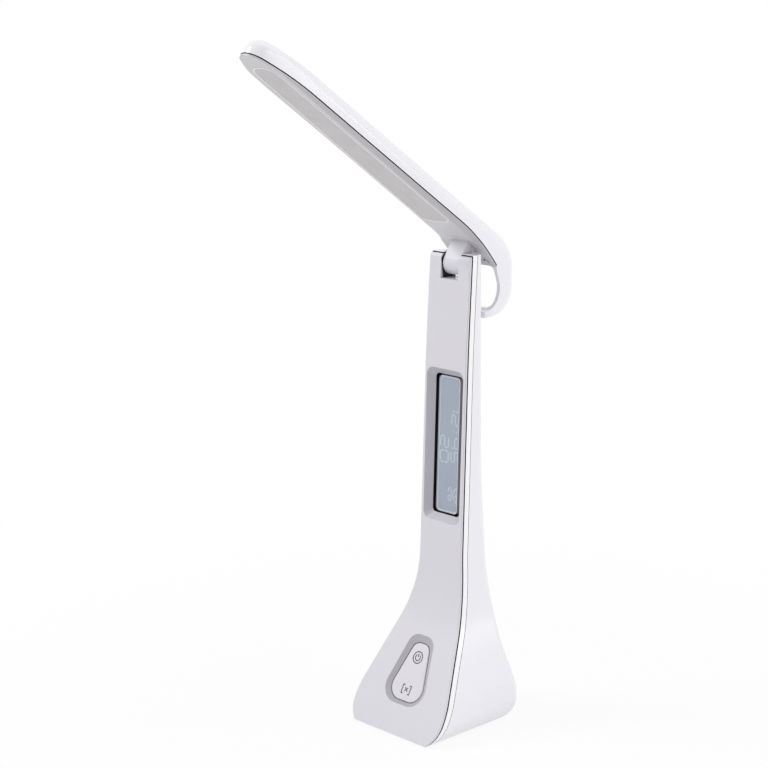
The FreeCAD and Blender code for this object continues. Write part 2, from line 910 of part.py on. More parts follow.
def chain(points):
    """Straight lines through a row of points in the side view."""
    return [line_edge(a, b) for a, b in zip(points, points[1:])]


def side_prism(edges, half):
    """Solid with a side view outline, as wide as twice a half width."""
    return prism(Part.Face(Part.Wire(edges)), AXIS_X, -half, half)


def bend_angle(radius, place):
    """Angle round the bend's centre of the point that lies at a place along the head."""
    return math.acos((place - BEND.x) / radius)


OUTER_PATH = [(tip_end, top_height), (hook_top, top_height), (hook_heel, hook_heel_rise),
              (hook_turn, hook_turn_rise)]
OUTER_RADII = [0.0, hook_top_round, hook_heel_round, hook_turn_round]


def outer_path():
    """Outside of the head from its tip end over the top and round the hook to the hook's tip."""
    end = polar(LOOP, loop_radius + hook_tip_thick, HOOK_TIP)
    return OUTER_PATH + [(end.x, end.y)], OUTER_RADII + [0.0]


def underside(place):
    """Height of the flat underside at a place along the head."""
    share = (place - cover_root) / (head_reach - cover_root)
    return seam_rise - cover_root_thick - (cover_tip_thick - cover_root_thick) * share


def head_form():
    """Whole head as a solid band, before its edges are rounded."""
    points, radii = outer_path()
    edges = outline_edges(points, radii, on_yz, closed=False)
    inner = bend_round - cover_hinge_thick
    start = bend_angle(inner, cover_hinge)
    end = bend_angle(inner, loop_start)
    cover_end = polar(BEND, inner, end)
    reach = cover_end - LOOP
    loop_angle = math.atan2(reach.y, reach.x) + math.acos(loop_radius / reach.Length)
    tip = vec(*points[-1], 0)
    edges.append(line_edge(tip, polar(LOOP, loop_radius, HOOK_TIP)))
    edges.append(arc_edge(LOOP, loop_radius, HOOK_TIP, loop_angle))
    edges.append(line_edge(polar(LOOP, loop_radius, loop_angle), cover_end))
    edges.append(arc_edge(BEND, inner, end, start))
    edges += chain([polar(BEND, inner, start), vec(cover_root, underside(cover_root), 0),
                    vec(tip_end, underside(tip_end), 0), vec(*points[0], 0)])
    return side_prism(edges, head_half)


def inside_seam(shift):
    """Everything on the inner side of the seam between top shell and lower cover."""
    radius = bend_round + shift
    end = bend_angle(radius, loop_start - shift)
    edges = [line_edge(vec(FAR, seam_rise + shift, 0), vec(BEND.x, seam_rise + shift, 0)),
             arc_edge(BEND, radius, math.pi / 2, end)]
    edges += chain([polar(BEND, radius, end), vec(loop_start - shift, -FAR, 0),
                    vec(FAR, -FAR, 0), vec(FAR, seam_rise + shift, 0)])
    return side_prism(edges, FAR)


window_turn = math.radians(180.0 - window_pitch)
THROUGH = vec(math.cos(window_turn), math.sin(window_turn), 0)
ACROSS = vec(math.sin(window_turn), -math.cos(window_turn), 0)
under_round = bend_round - cover_hinge_thick
COVER_END = polar(BEND, under_round, bend_angle(under_round, loop_start))
window_high = (COVER_END - LOOP).dot(ACROSS)
window_half = head_half - hook_arm


def hook_window():
    """Opening through the back of the hook, level with the end of the lower cover at its top."""
    points = [(-window_half, window_low), (window_half, window_low),
              (window_half, window_high), (-window_half, window_high)]

    def place(a, b):
        """Point of the window's outline, square to the way through it."""
        middle = LOOP + ACROSS * b
        return on_yz(middle.x, middle.y) + AXIS_X * a

    face = outline_face(points, [window_round] * 4, place)
    return prism(face, on_yz(THROUGH.x, THROUGH.y), 0.0, BEYOND)


nose_start = head_reach - nose_length
nose_reach = nose_length - nose_round
nose_side_round = ((head_half ** 2 + nose_reach ** 2 - nose_round ** 2) / (2 * (head_half - nose_round)))


def head_plan(inset):
    """Plan of the head drawn in by an inset: straight sides and a rounded nose, as a tall prism."""
    half = head_half - inset
    side_centre = vec(head_half - nose_side_round, nose_start, 0)
    nose_centre = vec(0, head_reach - nose_round, 0)
    turn = math.atan2(nose_centre.y - side_centre.y, nose_centre.x - side_centre.x)
    joint = polar(side_centre, nose_side_round - inset, turn)
    half_way = polar(side_centre, nose_side_round - inset, turn / 2)
    tip = vec(0, head_reach - inset, 0)
    right = Part.Arc(vec(half, nose_start, 0), half_way, joint).toShape()
    nose = Part.Arc(joint, tip, vec(-joint.x, joint.y, 0)).toShape()
    left = Part.Arc(vec(-joint.x, joint.y, 0), vec(-half_way.x, half_way.y, 0),
                    vec(-half, nose_start, 0)).toShape()
    back = [Part.LineSegment(vec(-half, nose_start, 0), vec(-half, -FAR, 0)).toShape(),
            Part.LineSegment(vec(-half, -FAR, 0), vec(half, -FAR, 0)).toShape(),
            Part.LineSegment(vec(half, -FAR, 0), vec(half, nose_start, 0)).toShape()]
    face = Part.Face(Part.Wire([right, nose, left] + back))
    return prism(face, AXIS_Z, -FAR, FAR)


def corner_face(corner, outwards, upwards, radius):
    """Section of what a rounded edge removes: a square corner outside a quarter circle."""
    inner = corner - outwards * radius
    centre = inner - upwards * radius
    middle = centre + (outwards + upwards).normalize() * radius
    low = corner - upwards * radius
    points = [low, low + outwards * SPARE, corner + outwards * SPARE + upwards * SPARE,
              inner + upwards * SPARE, inner]
    edges = [Part.LineSegment(a, b).toShape() for a, b in zip(points, points[1:])]
    edges.append(Part.Arc(inner, middle, low).toShape())
    return Part.Face(Part.Wire(edges))


def head_side_rounding():
    """What the rounded long edges remove on one side, along the top and round the hook."""
    points, radii = outer_path()
    corners = rounded_corners(points, radii, False)
    pieces = []
    for i, (entry, middle, leave, centre) in enumerate(corners):
        if middle is not None:
            outwards = on_yz(entry.x - centre.x, entry.y - centre.y).normalize()
            corner = on_yz(entry.x, entry.y) + AXIS_X * head_half
            face = corner_face(corner, AXIS_X, outwards, top_edge_round)
            sweep = math.degrees((entry - centre).getAngle(leave - centre))
            pieces.append(face.revolve(on_yz(centre.x, centre.y), AXIS_X, sweep))
        if i + 1 < len(corners):
            following = corners[i + 1][0]
            run = on_yz(following.x - leave.x, following.y - leave.y)
            outwards = AXIS_X.cross(run).normalize() * -1
            corner = on_yz(leave.x, leave.y) + AXIS_X * head_half
            pieces.append(corner_face(corner, AXIS_X, outwards, top_edge_round).extrude(run))
    return pieces


def nose_rounding():
    """What the rounded top edge removes round the nose: one side arc and half of the nose arc."""
    side_centre = vec(head_half - nose_side_round, nose_start, 0)
    nose_centre = vec(0, head_reach - nose_round, 0)
    turn = math.atan2(nose_centre.y - side_centre.y, nose_centre.x - side_centre.x)
    side = corner_face(vec(head_half, nose_start, top_height), AXIS_X, AXIS_Z, top_edge_round)
    outwards = vec(math.cos(turn), math.sin(turn), 0)
    joint = polar(side_centre, nose_side_round, turn) + AXIS_Z * top_height
    nose = corner_face(joint, outwards, AXIS_Z, top_edge_round)
    return [side.revolve(side_centre, AXIS_Z, math.degrees(turn)),
            nose.revolve(nose_centre, AXIS_Z, 90.0 - math.degrees(turn))]


def head_hollow():
    """Space inside the top shell, open towards the seam."""
    path, radii = shifted_path(*outer_path(), -hollow_wall)
    points = path + [(loop_back, loop_drop), (tip_end, -BEYOND)]
    face = outline_face(points, radii + [0.0, 0.0], on_yz)
    hollow = prism(face, AXIS_X, -head_half, head_half)
    roof = COVER_END + ACROSS * hollow_wall
    front = min(plate_back, cover_screw_place - small_head_radius) - cover_play
    corner = roof + THROUGH * ((front - roof.x) / THROUGH.x)
    back = corner + THROUGH * BEYOND
    keep_out = side_prism(chain([corner, back, vec(back.x, -FAR, 0), vec(front, -FAR, 0), corner]), FAR)
    return hollow.cut(keep_out).common(head_plan(hollow_wall))


def diffuser_outline(grow):
    """Points and radii of the light window in plan, grown all round."""
    back = diffuser_back - grow
    front = head_reach - diffuser_margin + grow
    points = [(-diffuser_back_half - grow, back), (diffuser_back_half + grow, back),
              (diffuser_tip_half + grow, front), (-diffuser_tip_half - grow, front)]
    radii = [diffuser_back_round + grow] * 2 + [diffuser_tip_round + grow] * 2
    return points, radii


def diffuser_prism(grow, low, high):
    """Upright solid over the light window."""
    return prism(outline_face(*diffuser_outline(grow), on_xy), AXIS_Z, low, high)


hollow_top = top_height - hollow_wall
lip_low = seam_rise + seam_gap / 2
lip_high = lip_low + diffuser_lip_thick
led_board_low = hollow_top - led_board_thick


def tongue_slot(play):
    """Space of the hinge tongue's web above the knuckle."""
    half = tongue_half + play
    return box(-half, half, -tongue_back - play, knuckle_radius + play, 0.0, FAR)


def cover_screw_points():
    """Places of the two screws that close the head near its hook."""
    return [vec(x, cover_screw_place, 0) for x in (-cover_screw_spread, cover_screw_spread)]


def seam_height(place, shift):
    """Height of the seam, shifted, where it bends down towards the hook."""
    radius = bend_round + shift
    return BEND.y + math.sqrt(radius ** 2 - (place - BEND.x) ** 2)


def make_head_top_shell(form, plan):
    """Glossy upper shell of the head and of its hook."""
    shell = form.cut(inside_seam(seam_gap / 2)).common(plan)
    for piece in head_side_rounding() + nose_rounding():
        for cutter in both_sides(piece):
            shell = shell.cut(cutter)
    shell = shell.cut(head_hollow()).cut(hook_window())
    for point in cover_screw_points():
        low = seam_height(point.y, plate_thick) + cover_play
        foot = vec(point.x, point.y, low)
        boss = cylinder(cover_boss_radius, foot, AXIS_Z, hollow_top + hollow_wall / 2 - low)
        bore = cylinder(small_screw_radius, foot, AXIS_Z, small_screw_grip)
        shell = shell.fuse(boss).cut(bore)
    return shell.removeSplitter()


def cover_side_wedges():
    """What the sloping sides of the lower cover remove, between the hinge and the nose."""
    sections = []
    step = (BEND.x - cover_hinge) / 4
    for place in [cover_hinge + step * i for i in range(5)] + [head_reach]:
        high = seam_height(min(place, BEND.x), -seam_gap / 2)
        low = underside(place) - SPARE
        slope = SPARE * (head_half - cover_flat_half) / (high - underside(place))
        points = [vec(head_half, place, high), vec(cover_flat_half - slope, place, low),
                  vec(head_half + SPARE, place, low), vec(head_half + SPARE, place, high)]
        sections.append(Part.makePolygon(points + points[:1]))
    return both_sides(Part.makeLoft(sections, True, True))


def hinge_plate():
    """Thicker stretch of the lower cover over the hinge, inside the top shell."""
    inner = bend_round - cover_hinge_thick
    outer = inner + plate_thick
    angles = [(bend_angle(radius, plate_front), bend_angle(radius, plate_back))
              for radius in (inner, outer)]
    edges = [arc_edge(BEND, inner, *angles[0]), arc_edge(BEND, outer, *angles[1]),
             line_edge(polar(BEND, inner, angles[0][0]), polar(BEND, outer, angles[1][0])),
             line_edge(polar(BEND, inner, angles[0][1]), polar(BEND, outer, angles[1][1]))]
    return side_prism(Part.__sortEdges__(edges), head_half - hollow_wall - cover_play)


def make_head_lower_cover(form, plan):
    """Lower cover with the light window, which ends where the hook begins."""
    cover = form.common(inside_seam(-seam_gap / 2)).common(plan)
    for wedge in cover_side_wedges():
        cover = cover.cut(wedge)
    cover = cover.fuse(hinge_plate()).cut(diffuser_prism(diffuser_play, -FAR, FAR))
    cover = cover.cut(tongue_slot(cover_play))
    for point in cover_screw_points():
        seat = seam_height(point.y, 0.0)
        cover = cover.cut(cylinder(small_screw_radius, vec(point.x, point.y, 0), AXIS_Z, FAR))
        cover = cover.cut(cylinder(small_head_radius, vec(point.x, point.y, 0), AXIS_Z, seat))
    for x in (-flange_screw_spread, flange_screw_spread):
        hole = cylinder(small_screw_radius, vec(x, flange_screw_place, flange_seat() - flange_screw_grip),
                        AXIS_Z, FAR)
        cover = cover.cut(hole)
    return cover.removeSplitter()


def make_cover_screws():
    """Screws that close the head near its hook."""
    screws = []
    for point in cover_screw_points():
        seat = seam_height(point.y, 0.0)
        grip = seam_height(point.y, plate_thick) + small_screw_grip - seat
        screws.append(small_screw(vec(point.x, point.y, seat), AXIS_Z, grip))
    return Part.makeCompound(screws)


def flange_seat():
    """Height of the underside of the tongue's flange at its screws."""
    return seam_height(flange_screw_place, plate_thick - cover_hinge_thick)


def make_hinge_tongue():
    """Tongue that carries the head on the hinge pin, with a flange inside the head."""
    knuckle = cylinder(knuckle_radius, vec(-tongue_half, 0, 0), AXIS_X, 2 * tongue_half)
    inner = bend_round + plate_thick - cover_hinge_thick + flange_play
    top = seam_height(flange_front, inner - bend_round) + flange_thick
    web = box(-tongue_half, tongue_half, -tongue_back, knuckle_radius, 0.0, top)
    flange = box(-flange_half, flange_half, -tongue_back, flange_front, 0.0, top)
    flange = flange.cut(cylinder(inner, vec(-FAR, BEND.x, BEND.y), AXIS_X, 2 * FAR))
    tongue = knuckle.fuse([web, flange])
    tongue = tongue.cut(cylinder(pin_radius + pin_play, vec(-FAR, 0, 0), AXIS_X, 2 * FAR))
    for x in (-flange_screw_spread, flange_screw_spread):
        tongue = tongue.cut(cylinder(small_screw_radius, vec(x, flange_screw_place, 0), AXIS_Z, FAR))
    return tongue.removeSplitter(), top


def make_tongue_screws(top):
    """Screws that hold the tongue's flange down on the lower cover."""
    grip = top - flange_seat() + flange_screw_grip
    screws = [small_screw(vec(x, flange_screw_place, top), AXIS_Z * -1, grip)
              for x in (-flange_screw_spread, flange_screw_spread)]
    return Part.makeCompound(screws)


def make_light_diffuser(form):
    """Milky light window, flush with the lower cover and held by a lip inside."""
    window = diffuser_prism(0.0, 0.0, lip_low).common(form)
    lip = diffuser_prism(diffuser_lip, lip_low, lip_high)
    return window.fuse(lip).removeSplitter()


def make_light_reflector():
    """White walls between the light window and the lamp board."""
    outer = diffuser_prism(diffuser_lip, lip_high, led_board_low)
    return outer.cut(diffuser_prism(diffuser_lip - reflector_wall, lip_high, led_board_low))


def make_led_board():
    """Board of the light sources, under the ceiling of the top shell."""
    return diffuser_prism(diffuser_lip, led_board_low, hollow_top)


def make_led_chips():
    """Two rows of light sources on their board."""
    half = led_size / 2
    length = head_reach - diffuser_margin - diffuser_back
    count = int((length - 2 * led_margin) / led_pitch) + 1
    chips = []
    for i in range(count):
        place = diffuser_back + led_margin + i * led_pitch
        for x in (-led_spread, led_spread):
            chips.append(box(x - half, x + half, place - half, place + half,
                             led_board_low - led_height, led_board_low))
    return Part.makeCompound(chips)


# Pieces of the hinge

def make_hinge_pin():
    """Steel pin held between the front frame and the rear shell."""
    return hinge_bar(pin_radius, pin_half)


def make_friction_washers():
    """One friction washer on each side of the tongue."""
    start = vec(tongue_half + washer_play, hinge_back, hinge_height)
    washer = cylinder(washer_radius, start, AXIS_X, washer_thick)
    washer = washer.cut(hinge_bar(pin_radius, FAR))
    return Part.makeCompound(both_sides(washer))


def build():
    """All pieces of the lamp by name."""
    blank = stand_blank()
    ledge_form = stand_form(ledge_inset)
    form = head_form()
    plan = head_plan(0.0)
    tongue, flange_top = make_hinge_tongue()
    pieces = {
        "front_panel": make_front_panel(blank, ledge_form),
        "front_frame": make_front_frame(blank, ledge_form, stand_form(rim_wall)),
        "rear_shell": make_rear_shell(blank, stand_form(shell_wall)),
        "base_plate": make_base_plate(),
        "base_pad": make_base_pad(),
        "ballast_plate": make_ballast(),
        "base_screws": make_base_screws(),
        "battery": make_battery(),
        "charge_board": make_charge_board(),
        "charge_socket": make_charge_socket(),
        "display_lens": make_display_lens(),
        "lcd_cell": make_lcd_cell(),
        "display_tray": make_display_tray(),
        "main_board": make_main_board(),
        "board_screws": make_board_screws(),
        "control_chip": make_control_chip(),
        "buzzer": make_buzzer(),
        "key_cap": make_key_cap(),
        "key_pivot_pin": make_key_pin(),
        "key_bracket": make_key_bracket(),
        "bracket_screws": make_bracket_screws(),
        "key_board": make_key_board(),
        "tact_switches": make_tact_switches(),
        "switch_stem_upper": make_stem(switch_reach),
        "switch_stem_lower": make_stem(-switch_reach),
        "hinge_pin": make_hinge_pin(),
        "friction_washers": make_friction_washers(),
    }
    head_pieces = {
        "head_top_shell": make_head_top_shell(form, plan),
        "head_lower_cover": make_head_lower_cover(form, plan),
        "hinge_tongue": tongue,
        "tongue_screws": make_tongue_screws(flange_top),
        "cover_screws": make_cover_screws(),
        "light_diffuser": make_light_diffuser(form),
        "light_reflector": make_light_reflector(),
        "led_board": make_led_board(),
        "led_chips": make_led_chips(),
    }
    for name, shape in head_pieces.items():
        pieces[name] = placed(shape, *HEAD_FRAME)
    return pieces


def main():
    """Write every piece to a file of its own."""
    os.makedirs("parts", exist_ok=True)
    for name, shape in build().items():
        print(name, len(shape.Solids), shape.isValid(), round(shape.Volume, 1))
        shape.exportStep("parts/" + name + ".step")


main()
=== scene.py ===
"""Looks of a folding LED table lamp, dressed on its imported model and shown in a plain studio."""
import logging
import math
from collections.abc import Callable
from dataclasses import dataclass, field
from enum import Enum

import bmesh
import bpy
from mathutils import Matrix, Vector
from mathutils.bvhtree import BVHTree


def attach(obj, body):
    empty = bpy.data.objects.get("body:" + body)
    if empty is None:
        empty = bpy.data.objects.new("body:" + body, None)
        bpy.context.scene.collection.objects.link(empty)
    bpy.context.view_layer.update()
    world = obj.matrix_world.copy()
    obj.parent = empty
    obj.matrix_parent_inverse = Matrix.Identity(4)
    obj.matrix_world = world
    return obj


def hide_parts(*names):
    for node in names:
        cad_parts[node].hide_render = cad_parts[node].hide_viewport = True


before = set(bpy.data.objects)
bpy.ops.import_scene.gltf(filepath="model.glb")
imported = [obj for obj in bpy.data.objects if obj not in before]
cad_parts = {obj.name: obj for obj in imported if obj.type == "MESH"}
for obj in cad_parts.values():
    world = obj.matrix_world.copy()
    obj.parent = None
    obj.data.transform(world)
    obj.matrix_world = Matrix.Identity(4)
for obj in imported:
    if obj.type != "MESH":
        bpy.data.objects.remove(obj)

LOG = logging.getLogger("table_lamp")
MM = 0.001
MERGE = 0.001 * MM
SHARP = math.radians(32.0)
LEVEL = 1e-4
LEVEL_FACE = 0.99
FULL_TURN = 360.0
QUARTER_TURN = 90.0
BAR_SOFTNESS = 0.3
GRAIN_DETAIL = 3.0
TONE_DETAIL = 2.0
RIB_TONE_SHARE = 0.5
BRUSHED_STRETCH = (0.04, 1.0, 1.0)
KEPT_NORMAL = "kept_normal"
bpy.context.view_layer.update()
NODES: dict[str, bpy.types.Object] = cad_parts


class Pattern(Enum):
    """Kinds of surface relief that a finish can have."""

    GRAIN = "moulded_grain"
    RIBS = "fine_ribs"
    BRUSHED = "brushed_lines"


class Body(Enum):
    """Bodies of the lamp that pieces ride on."""

    STAND = "stand"
    HEAD = "head"
    KEY = "key"


def linear(level: float) -> float:
    """Turn one display level from 0 to 255 into linear light."""
    share = level / 255.0
    return share / 12.92 if share <= 0.04045 else ((share + 0.055) / 1.055) ** 2.4


def shade(red: float, green: float, blue: float) -> tuple[float, float, float]:
    """Turn a display colour into a linear one."""
    return (linear(red), linear(green), linear(blue))


def slanted_frame(origin: tuple, along: tuple, out: tuple) -> Matrix:
    """Build the matrix of a flat frame on the lamp.

    Args:
        origin: Place of the frame's zero point in millimetres.
        along: Direction of the frame's second axis.
        out: Direction of the frame's third axis.

    Returns:
        Matrix that takes millimetres in the frame to metres on the lamp.
    """
    second = Vector(along).normalized()
    third = Vector(out).normalized()
    first = second.cross(third)
    turn = Matrix((first, second, third)).transposed().to_4x4()
    return Matrix.Translation(Vector(origin) * MM) @ turn @ Matrix.Scale(MM, 4)


DISPLAY_FRAME = slanted_frame((0.0, 7.790, 157.896), (0.0, 4.3, 143.6), (0.0, -143.6, 4.3))
KEY_FRAME = slanted_frame((0.0, -16.668, 32.071), (0.0, 39.7, 71.4), (0.0, -71.4, 39.7))
HEAD_PITCH = math.radians(34.3)
HEAD_FRAME = slanted_frame(
    (0.0, 19.7, 259.0),
    (0.0, -math.cos(HEAD_PITCH), math.sin(HEAD_PITCH)),
    (0.0, math.sin(HEAD_PITCH), math.cos(HEAD_PITCH)),
)


def new_group(name: str, inputs: dict[str, float], outputs: tuple[str, ...]) -> bpy.types.NodeTree:
    """Make an empty shader node group.

    Args:
        name: Name of the group.
        inputs: Input names with their default values.
        outputs: Names of the outputs.

    Returns:
        The group, with its input and output nodes in place.
    """
    group = bpy.data.node_groups.new(name, "ShaderNodeTree")
    for label, value in inputs.items():
        socket = group.interface.new_socket(
            name=label, in_out="INPUT", socket_type="NodeSocketFloat")
        socket.default_value = value
    for label in outputs:
        group.interface.new_socket(name=label, in_out="OUTPUT", socket_type="NodeSocketFloat")
    group.nodes.new("NodeGroupInput")
    group.nodes.new("NodeGroupOutput")
    return group


def grain_group() -> bpy.types.NodeTree:
    """Build the fine grain of moulded surfaces, with a slow change of tone.

    Returns:
        The group, with the height of the grain and the slow tone.
    """
    group = new_group(Pattern.GRAIN.value, {"Scale": 2500.0, "Tone Scale": 25.0},
                      ("Height", "Tone"))
    nodes, links = group.nodes, group.links
    entry, leave = nodes["Group Input"], nodes["Group Output"]
    place = nodes.new("ShaderNodeTexCoord")
    fine = nodes.new("ShaderNodeTexNoise")
    fine.inputs["Detail"].default_value = GRAIN_DETAIL
    slow = nodes.new("ShaderNodeTexNoise")
    slow.inputs["Detail"].default_value = TONE_DETAIL
    for noise, socket in ((fine, "Scale"), (slow, "Tone Scale")):
        links.new(place.outputs["Object"], noise.inputs["Vector"])
        links.new(entry.outputs[socket], noise.inputs["Scale"])
    links.new(fine.outputs["Fac"], leave.inputs["Height"])
    links.new(slow.outputs["Fac"], leave.inputs["Tone"])
    return group


def ribs_group() -> bpy.types.NodeTree:
    """Build fine ribs across the light head, crossed by ribs along it.

    Returns:
        The group, with the height of the ribs and a tone that follows them.
    """
    group = new_group(Pattern.RIBS.value, {"Scale": 300.0, "Tone Scale": 60.0},
                      ("Height", "Tone"))
    nodes, links = group.nodes, group.links
    entry, leave = nodes["Group Input"], nodes["Group Output"]
    place = nodes.new("ShaderNodeTexCoord")
    turn = nodes.new("ShaderNodeMapping")
    turn.inputs["Rotation"].default_value = (HEAD_PITCH, 0.0, 0.0)
    ribs = nodes.new("ShaderNodeTexWave")
    ribs.wave_type = "BANDS"
    ribs.bands_direction = "Y"
    cross = nodes.new("ShaderNodeTexWave")
    cross.wave_type = "BANDS"
    cross.bands_direction = "X"
    slow = nodes.new("ShaderNodeTexNoise")
    links.new(place.outputs["Object"], turn.inputs["Vector"])
    for wave in (ribs, cross):
        links.new(turn.outputs["Vector"], wave.inputs["Vector"])
        links.new(entry.outputs["Scale"], wave.inputs["Scale"])
    links.new(turn.outputs["Vector"], slow.inputs["Vector"])
    links.new(entry.outputs["Tone Scale"], slow.inputs["Scale"])
    both = nodes.new("ShaderNodeMath")
    both.operation = "MULTIPLY"
    links.new(ribs.outputs["Fac"], both.inputs[0])
    links.new(cross.outputs["Fac"], both.inputs[1])
    tone = nodes.new("ShaderNodeMath")
    tone.operation = "MULTIPLY_ADD"
    tone.inputs[1].default_value = RIB_TONE_SHARE
    links.new(both.outputs[0], tone.inputs[0])
    links.new(slow.outputs["Fac"], tone.inputs[2])
    links.new(both.outputs[0], leave.inputs["Height"])
    links.new(tone.outputs[0], leave.inputs["Tone"])
    return group


def brushed_group() -> bpy.types.NodeTree:
    """Build long fine lines, as on turned or rolled metal.

    Returns:
        The group, with the height of the lines and a slow tone.
    """
    group = new_group(Pattern.BRUSHED.value, {"Scale": 900.0, "Tone Scale": 80.0},
                      ("Height", "Tone"))
    nodes, links = group.nodes, group.links
    entry, leave = nodes["Group Input"], nodes["Group Output"]
    place = nodes.new("ShaderNodeTexCoord")
    stretch = nodes.new("ShaderNodeMapping")
    stretch.inputs["Scale"].default_value = BRUSHED_STRETCH
    fine = nodes.new("ShaderNodeTexNoise")
    slow = nodes.new("ShaderNodeTexNoise")
    links.new(place.outputs["Object"], stretch.inputs["Vector"])
    links.new(stretch.outputs["Vector"], fine.inputs["Vector"])
    links.new(place.outputs["Object"], slow.inputs["Vector"])
    links.new(entry.outputs["Scale"], fine.inputs["Scale"])
    links.new(entry.outputs["Tone Scale"], slow.inputs["Scale"])
    links.new(fine.outputs["Fac"], leave.inputs["Height"])
    links.new(slow.outputs["Fac"], leave.inputs["Tone"])
    return group


GROUPS = {
    Pattern.GRAIN: grain_group(),
    Pattern.RIBS: ribs_group(),
    Pattern.BRUSHED: brushed_group(),
}


@dataclass(frozen=True)
class Finish:
    """One finish of the lamp: its colour, gloss and fine relief."""

    name: str
    colour: tuple[float, float, float]
    roughness: float
    metallic: float = 0.0
    coat: float = 0.0
    alpha: float = 1.0
    specular: float = 0.5
    pattern: Pattern = Pattern.GRAIN
    scale: float = 2500.0
    tone_scale: float = 25.0
    relief: float = 0.05
    tone_spread: float = 0.02
    rough_spread: float = 0.06
    coat_roughness: float = 0.04
    relief_depth: float = 0.2 * MM

    def build(self) -> bpy.types.Material:
        """Make the material of this finish.

        Returns:
            A node material with varied tone, gloss and relief.
        """
        material = bpy.data.materials.new(self.name)
        material.use_nodes = True
        nodes, links = material.node_tree.nodes, material.node_tree.links
        shader = nodes["Principled BSDF"]
        shader.inputs["Metallic"].default_value = self.metallic
        shader.inputs["Coat Weight"].default_value = self.coat
        shader.inputs["Coat Roughness"].default_value = self.coat_roughness
        shader.inputs["Alpha"].default_value = self.alpha
        shader.inputs["Specular IOR Level"].default_value = self.specular
        pattern = nodes.new("ShaderNodeGroup")
        pattern.node_tree = GROUPS[self.pattern]
        pattern.inputs["Scale"].default_value = self.scale
        pattern.inputs["Tone Scale"].default_value = self.tone_scale
        tint = nodes.new("ShaderNodeMix")
        tint.data_type = "RGBA"
        tint.inputs["A"].default_value = self.toned(1.0 - self.tone_spread)
        tint.inputs["B"].default_value = self.toned(1.0 + self.tone_spread)
        gloss = nodes.new("ShaderNodeMapRange")
        gloss.inputs["To Min"].default_value = max(0.0, self.roughness - self.rough_spread)
        gloss.inputs["To Max"].default_value = min(1.0, self.roughness + self.rough_spread)
        bump = nodes.new("ShaderNodeBump")
        bump.inputs["Strength"].default_value = self.relief
        bump.inputs["Distance"].default_value = self.relief_depth
        links.new(pattern.outputs["Tone"], tint.inputs["Factor"])
        links.new(pattern.outputs["Tone"], gloss.inputs["Value"])
        links.new(pattern.outputs["Height"], bump.inputs["Height"])
        links.new(tint.outputs["Result"], shader.inputs["Base Color"])
        links.new(gloss.outputs["Result"], shader.inputs["Roughness"])
        links.new(bump.outputs["Normal"], shader.inputs["Normal"])
        return material

    def toned(self, share: float) -> tuple[float, float, float, float]:
        """Give the colour made lighter or darker."""
        return tuple(min(1.0, channel * share) for channel in self.colour) + (1.0,)


SATIN_PANEL = Finish("satin_panel", shade(219, 217, 224), 0.42, scale=3200.0, relief=0.05)
GLOSS_SHELL = Finish("gloss_shell", shade(241, 240, 246), 0.16, coat=0.35, scale=320.0,
                     relief=0.003, tone_spread=0.008, rough_spread=0.03)
# Painted sheen: a whiter copy of the shell's colour on the rim, standing in for its glossy sheen.
RIM_GLOSS_SHEEN = Finish("rim_gloss_painted_sheen", shade(251, 250, 253), 0.14, coat=0.6, scale=320.0,
                   relief=0.003, tone_spread=0.006, rough_spread=0.03)
# Painted shade: a near-black colour put on faces in grooves, slits, seams and the key's gap, where
# only shade falls.
GROOVE_SHADE = Finish("groove_shade", shade(52, 50, 54), 0.6, specular=0.2)
# Painted shade: greyer copies of the panel's colour on the flanks of the display recess and of the
# key's dish.
PANEL_FLANK_SHADE = Finish("panel_flank_painted_shade", shade(194, 192, 200), 0.34, scale=3200.0, relief=0.04)
KEY_DISH_SHADE = Finish("key_dish_painted_shade", shade(180, 178, 185), 0.34, scale=3200.0, relief=0.04)
SATIN_COVER = Finish("satin_cover", shade(207, 205, 209), 0.38, scale=3000.0, relief=0.05)
# Painted shade: a darker copy of the cover's colour for its side slopes, which face away from the
# light.
COVER_SLOPE_SHADE = Finish("cover_slope_painted_shade", shade(194, 191, 195), 0.34, scale=3000.0, relief=0.05)
MILKY_WINDOW = Finish("milky_window", shade(197, 194, 195), 0.5, pattern=Pattern.RIBS, scale=165.0,
                      tone_scale=90.0, relief=0.3, tone_spread=0.13)
WINDOW_BEAD = Finish("window_bead", shade(236, 234, 237), 0.25, scale=3000.0, relief=0.03)
KEY_PLASTIC = Finish("key_plastic", shade(223, 221, 227), 0.36, scale=3200.0, relief=0.05)
MARK_INK = Finish("mark_ink", shade(84, 82, 88), 0.5, scale=4000.0, tone_spread=0.1)
BLACK_TRAY = Finish("black_plastic", shade(16, 16, 18), 0.55, relief=0.08, tone_spread=0.1)
CLEAR_WINDOW = Finish("clear_window", shade(226, 233, 240), 0.06, alpha=0.16, scale=400.0,
                      relief=0.004, tone_spread=0.005, rough_spread=0.02)
